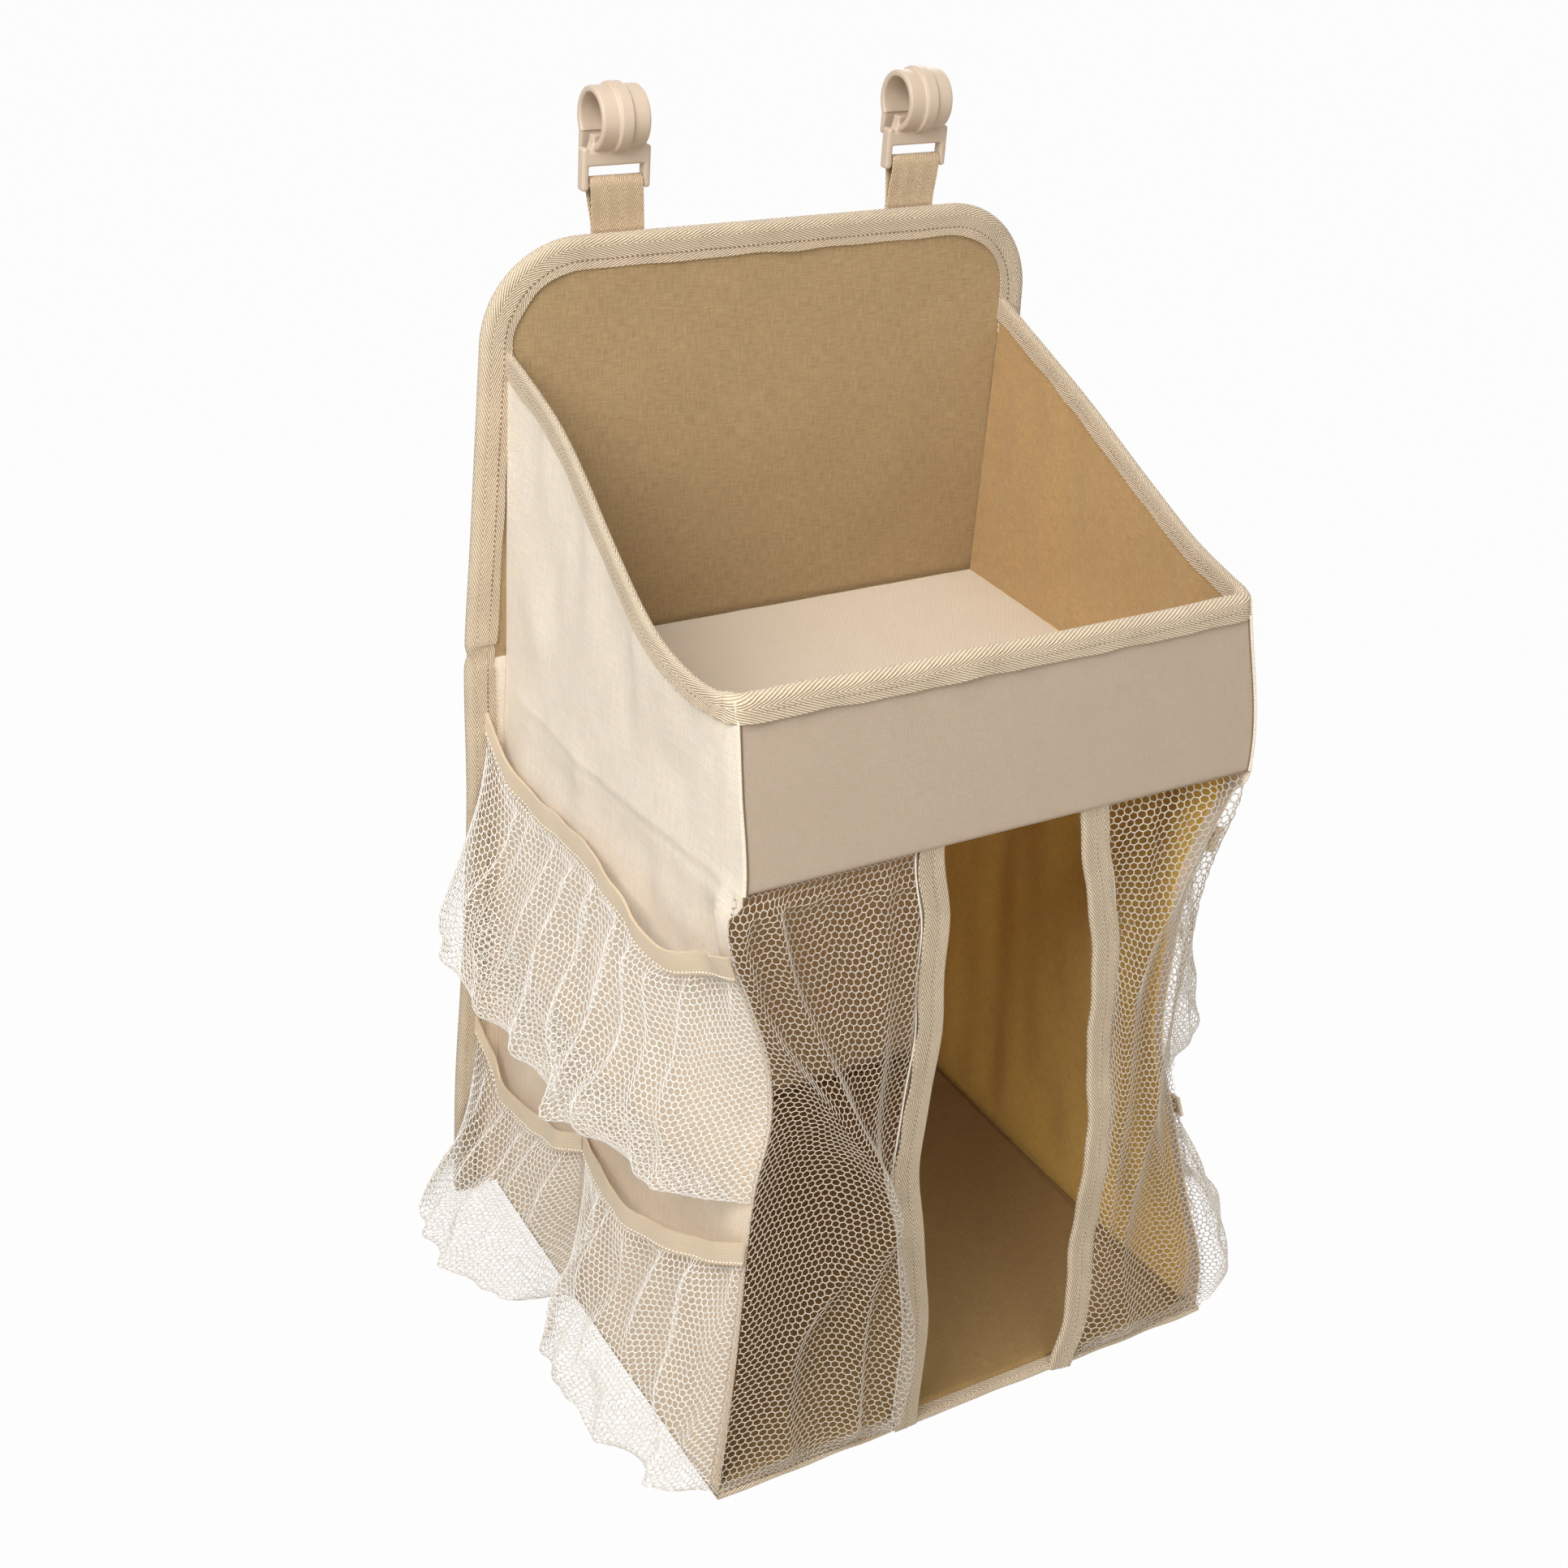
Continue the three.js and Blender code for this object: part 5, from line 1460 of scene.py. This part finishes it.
def hook_bar(offset, drop, length):
    """The round bar that the webbing runs over."""
    bar = bmesh.new()
    radius = HOOK["bar"]
    bmesh.ops.create_cone(bar, cap_ends=True, segments=28, radius1=radius, radius2=radius, depth=length)
    turned = Matrix.Translation((0, offset, -drop)) @ Matrix.Rotation(np.pi / 2, 4, "Y")
    bmesh.ops.transform(bar, matrix=turned, verts=bar.verts)
    return bar


def hook_parts():
    """The shapes that a hook is moulded from, round the rail's axis."""
    h = HOOK
    half = h["width"] / 2
    outer = h["bore"] + h["wall"]
    drop, offset = -BAR_JOINT[2], BAR_JOINT[1]
    ring = swept_sector(lambda a: rounded_outline(half, h["bore"], outer, 0.9 * MM),
                        (h["lip_angle"], h["foot_angle"]), 90)
    slot_half = STRAP_WIDTH / 2 + h["play"]
    frame_half = slot_half + h["arm"]
    top = -outer + h["overlap"]
    front, rear = offset - h["frame_depth"] / 2, offset + h["frame_depth"] / 2
    crossbar = boxed((-frame_half, front, top - h["crossbar"]), (frame_half, rear, top), 1.0 * MM)
    parts = [ring, hook_rib(outer), crossbar, hook_neck(top, front, rear)]
    foot = -drop - h["bar"]
    for sign in SIDES:
        low, high = sorted((sign * slot_half, sign * (frame_half + 0.2 * MM)))
        parts.append(boxed((low, front, foot - 0.6 * MM), (high, rear, top + h["ear"]), 1.1 * MM))
    parts.append(hook_bar(offset, drop, 2 * slot_half + 3 * MM))
    lip_top = h["bore"] * np.sin(np.radians(h["lip_angle"])) + 0.5 * MM
    near = rear + h["lip_gap"]
    lip_low = (-half, near, lip_top - h["lip_length"])
    parts.append(boxed(lip_low, (half, near + h["lip"], lip_top + 1 * MM), 1.0 * MM))
    return parts


def make_hook(side):
    label = SIDES[side]
    whole = bmesh.new()
    for part in hook_parts():
        scratch = bpy.data.meshes.new("part")
        part.to_mesh(scratch)
        part.free()
        whole.from_mesh(scratch)
        bpy.data.meshes.remove(scratch)
    bmesh.ops.translate(whole, vec=(side * HOOK_SPACING / 2 + HOOK_SHIFT[side], 0, 0), verts=whole.verts)
    mesh = bpy.data.meshes.new(f"moulded_hook_{label}")
    whole.to_mesh(mesh)
    whole.free()
    piece = linked(mesh.name, mesh)
    remesh = piece.modifiers.new("Remesh", "REMESH")
    remesh.mode = "VOXEL"
    remesh.voxel_size = HOOK["voxel"]
    soften = piece.modifiers.new("Soften", "SMOOTH")
    soften.factor = 0.5
    soften.iterations = 3
    smooth = applied(piece)
    piece.modifiers.clear()
    piece.data = smooth
    smooth.shade_smooth()
    smooth.materials.clear()
    smooth.materials.append(finish("plastic"))
    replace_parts(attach(piece, f"hook_{label}"), f"hook_{label}")


def make_boards():
    """The boards stay as the frame has them, in a fibreboard finish."""
    for name, board in frame["nodes"].items():
        if "board" in name:
            board.data.materials.clear()
            board.data.materials.append(finish("board"))


# Stage
CAMERA_PLACE = Vector((-0.4684, -0.8022, 0.1978))
CAMERA_AXES = ((0.86622, -0.49536, 0.0654), (0.19481, 0.45534, 0.86874), (-0.46012, -0.73979, 0.49093))
CAMERA_LENS = 49.415


def white_to_the_eye(tree, lit, output, share):
    """Shows that share of plain white to the camera and in reflections, over the surface's own shader."""
    seen = node(tree, "ShaderNodeLightPath").outputs
    eye = maths(tree, "MAXIMUM", seen["Is Camera Ray"], seen["Is Glossy Ray"])
    eye = maths(tree, "MAXIMUM", eye, seen["Is Transmission Ray"])
    plain = node(tree, "ShaderNodeEmission", {"Color": (1, 1, 1, 1), "Strength": 1.0})
    shown = node(tree, "ShaderNodeMixShader", {0: multiply(tree, eye, share), 1: lit, 2: plain})
    tree.links.new(shown.outputs[0], tree.nodes[output].inputs["Surface"])


def make_camera():
    camera = linked("camera", bpy.data.cameras.new("camera"))
    camera.data.sensor_width = 36
    camera.data.lens = CAMERA_LENS
    camera.data.clip_start = 0.01
    turn = Matrix(CAMERA_AXES).transposed().to_4x4()
    camera.matrix_world = Matrix.Translation(CAMERA_PLACE) @ turn
    bpy.context.scene.camera = camera


def make_sky(colour=(1.0, 0.93, 0.83), strength=0.36):
    world = bpy.data.worlds.new("studio")
    world.use_nodes = True
    bpy.context.scene.world = world
    sky = world.node_tree.nodes["Background"]
    sky.inputs["Color"].default_value = (*colour, 1)
    sky.inputs["Strength"].default_value = strength
    white_to_the_eye(world.node_tree, sky, "World Output", 1.0)


def make_floor(reach=12.0, height=-1.35, colour=(0.72, 0.71, 0.69), whiteness=0.97):
    """A wide pale floor, which shows nearly white."""
    floor = linked("floor", bpy.data.meshes.new("floor"))
    corners = [(x * reach, y * reach, height) for x, y in ((-1, -1), (1, -1), (1, 1), (-1, 1))]
    floor.data.from_pydata(corners, [], [(0, 1, 2, 3)])
    material, tree, shader = new_material("floor", colour, 0.9)
    paint(tree, shader, colour, 0.995, 1.005, object_noise(tree, 3.0))
    white_to_the_eye(tree, shader, "Material Output", whiteness)
    floor.data.materials.append(material)


# Lamps: (place, width, watts, colour)
LAMPS = {
    "key": ((-0.78, -0.5, 0.6), 0.7, 12.6, (1.0, 0.985, 0.97)),
    "fill": ((-0.45, -2.1, -0.1), 1.2, 12.0, (1.0, 0.97, 0.92)),
    "rear": ((1.5, 1.2, 0.5), 1.4, 12.0, (1.0, 0.98, 0.95)),
    "top": ((-0.1, -0.5, 1.7), 1.2, 8.0, (1.0, 0.99, 0.98)),
}
LAMP_TARGET = Vector((0, -0.1, -0.25))


def make_stage():
    bpy.context.scene.view_settings.view_transform = "Standard"
    make_camera()
    make_sky()
    make_floor()
    for name, (place, size, power, colour) in LAMPS.items():
        lamp = linked(name, bpy.data.lights.new(name, "AREA"))
        lamp.data.shape = "DISK"
        lamp.data.size = size
        lamp.data.energy = power
        lamp.data.color = colour
        lamp.location = place
        lamp.rotation_euler = (LAMP_TARGET - Vector(place)).to_track_quat("-Z", "Y").to_euler()


# Operators, each making one group of pieces
class CADDY_OT_stage(bpy.types.Operator):
    """Makes the camera, the lamps and the pale floor"""

    bl_idname = "caddy.stage"
    bl_label = "Stage"

    def execute(self, context):
        make_stage()
        return {"FINISHED"}


class CADDY_OT_boards(bpy.types.Operator):
    """Gives the boards inside the cloth their finish"""

    bl_idname = "caddy.boards"
    bl_label = "Boards"

    def execute(self, context):
        make_boards()
        return {"FINISHED"}


class CADDY_OT_back(bpy.types.Operator):
    """Makes the lining, the rear canvas and the bound edge of the back panel"""

    bl_idname = "caddy.back"
    bl_label = "Back panel"

    def execute(self, context):
        make_back_panel()
        make_back_binding()
        return {"FINISHED"}


class CADDY_OT_stiff_parts(bpy.types.Operator):
    """Makes the fascia, the shelf, the base and its insert"""

    bl_idname = "caddy.stiff_parts"
    bl_label = "Stiff parts"

    def execute(self, context):
        make_stiff_parts()
        return {"FINISHED"}


class CADDY_OT_sides(bpy.types.Operator):
    """Makes both canvas sides"""

    bl_idname = "caddy.sides"
    bl_label = "Side panels"

    def execute(self, context):
        for side in SIDES:
            make_side_panel(side)
        return {"FINISHED"}


class CADDY_OT_rim(bpy.types.Operator):
    """Makes the tape over the wings and the fascia"""

    bl_idname = "caddy.rim"
    bl_label = "Rim tape"

    def execute(self, context):
        make_rim_binding()
        return {"FINISHED"}


class CADDY_OT_curtains(bpy.types.Operator):
    """Makes both net curtains and their tapes"""

    bl_idname = "caddy.curtains"
    bl_label = "Net curtains"

    def execute(self, context):
        for side in SIDES:
            make_curtain(side)
        return {"FINISHED"}


class CADDY_OT_pockets(bpy.types.Operator):
    """Makes the gathered net pockets and their elastic bands"""

    bl_idname = "caddy.pockets"
    bl_label = "Net pockets"

    def execute(self, context):
        for side in SIDES:
            for pocket in (UPPER_POCKET, REAR_POCKET, FRONT_POCKET):
                make_pocket(pocket, side)
        return {"FINISHED"}


class CADDY_OT_straps(bpy.types.Operator):
    """Makes the webbing straps"""

    bl_idname = "caddy.straps"
    bl_label = "Straps"

    def execute(self, context):
        for side in SIDES:
            make_strap(side)
        return {"FINISHED"}


class CADDY_OT_hooks(bpy.types.Operator):
    """Makes the moulded clip hooks"""

    bl_idname = "caddy.hooks"
    bl_label = "Hooks"

    def execute(self, context):
        for side in SIDES:
            make_hook(side)
        return {"FINISHED"}


OPERATORS = (
    CADDY_OT_stage, CADDY_OT_boards, CADDY_OT_back, CADDY_OT_stiff_parts,
    CADDY_OT_sides, CADDY_OT_rim, CADDY_OT_curtains, CADDY_OT_pockets,
    CADDY_OT_straps, CADDY_OT_hooks,
)


class CADDY_PT_panel(bpy.types.Panel):
    """Lists the caddy's sizes, colours and makers in the sidebar."""

    bl_idname = "CADDY_PT_panel"
    bl_label = "Hanging caddy"
    bl_space_type = "VIEW_3D"
    bl_region_type = "UI"
    bl_category = "Caddy"

    def draw(self, context):
        for group in (context.scene.caddy_cloth, context.scene.caddy_net, context.scene.caddy_colours):
            for name in group.bl_rna.properties.keys():
                if name not in ("rna_type", "name"):
                    self.layout.prop(group, name)
        for operator in OPERATORS:
            self.layout.operator(operator.bl_idname)


GROUPS = {"caddy_cloth": ClothSizes, "caddy_net": NetSizes, "caddy_colours": FinishColours}


def register():
    for name, group in GROUPS.items():
        bpy.utils.register_class(group)
        setattr(bpy.types.Scene, name, bpy.props.PointerProperty(type=group))
    for operator in OPERATORS:
        bpy.utils.register_class(operator)
    bpy.utils.register_class(CADDY_PT_panel)


def unregister():
    bpy.utils.unregister_class(CADDY_PT_panel)
    for operator in reversed(OPERATORS):
        bpy.utils.unregister_class(operator)
    for name, group in GROUPS.items():
        delattr(bpy.types.Scene, name)
        bpy.utils.unregister_class(group)


def main():
    register()
    bpy.ops.caddy.stage()
    bpy.ops.caddy.boards()
    bpy.ops.caddy.back()
    bpy.ops.caddy.stiff_parts()
    bpy.ops.caddy.sides()
    bpy.ops.caddy.rim()
    bpy.ops.caddy.curtains()
    bpy.ops.caddy.pockets()
    bpy.ops.caddy.straps()
    bpy.ops.caddy.hooks()


if __name__ == "__main__":
    main()
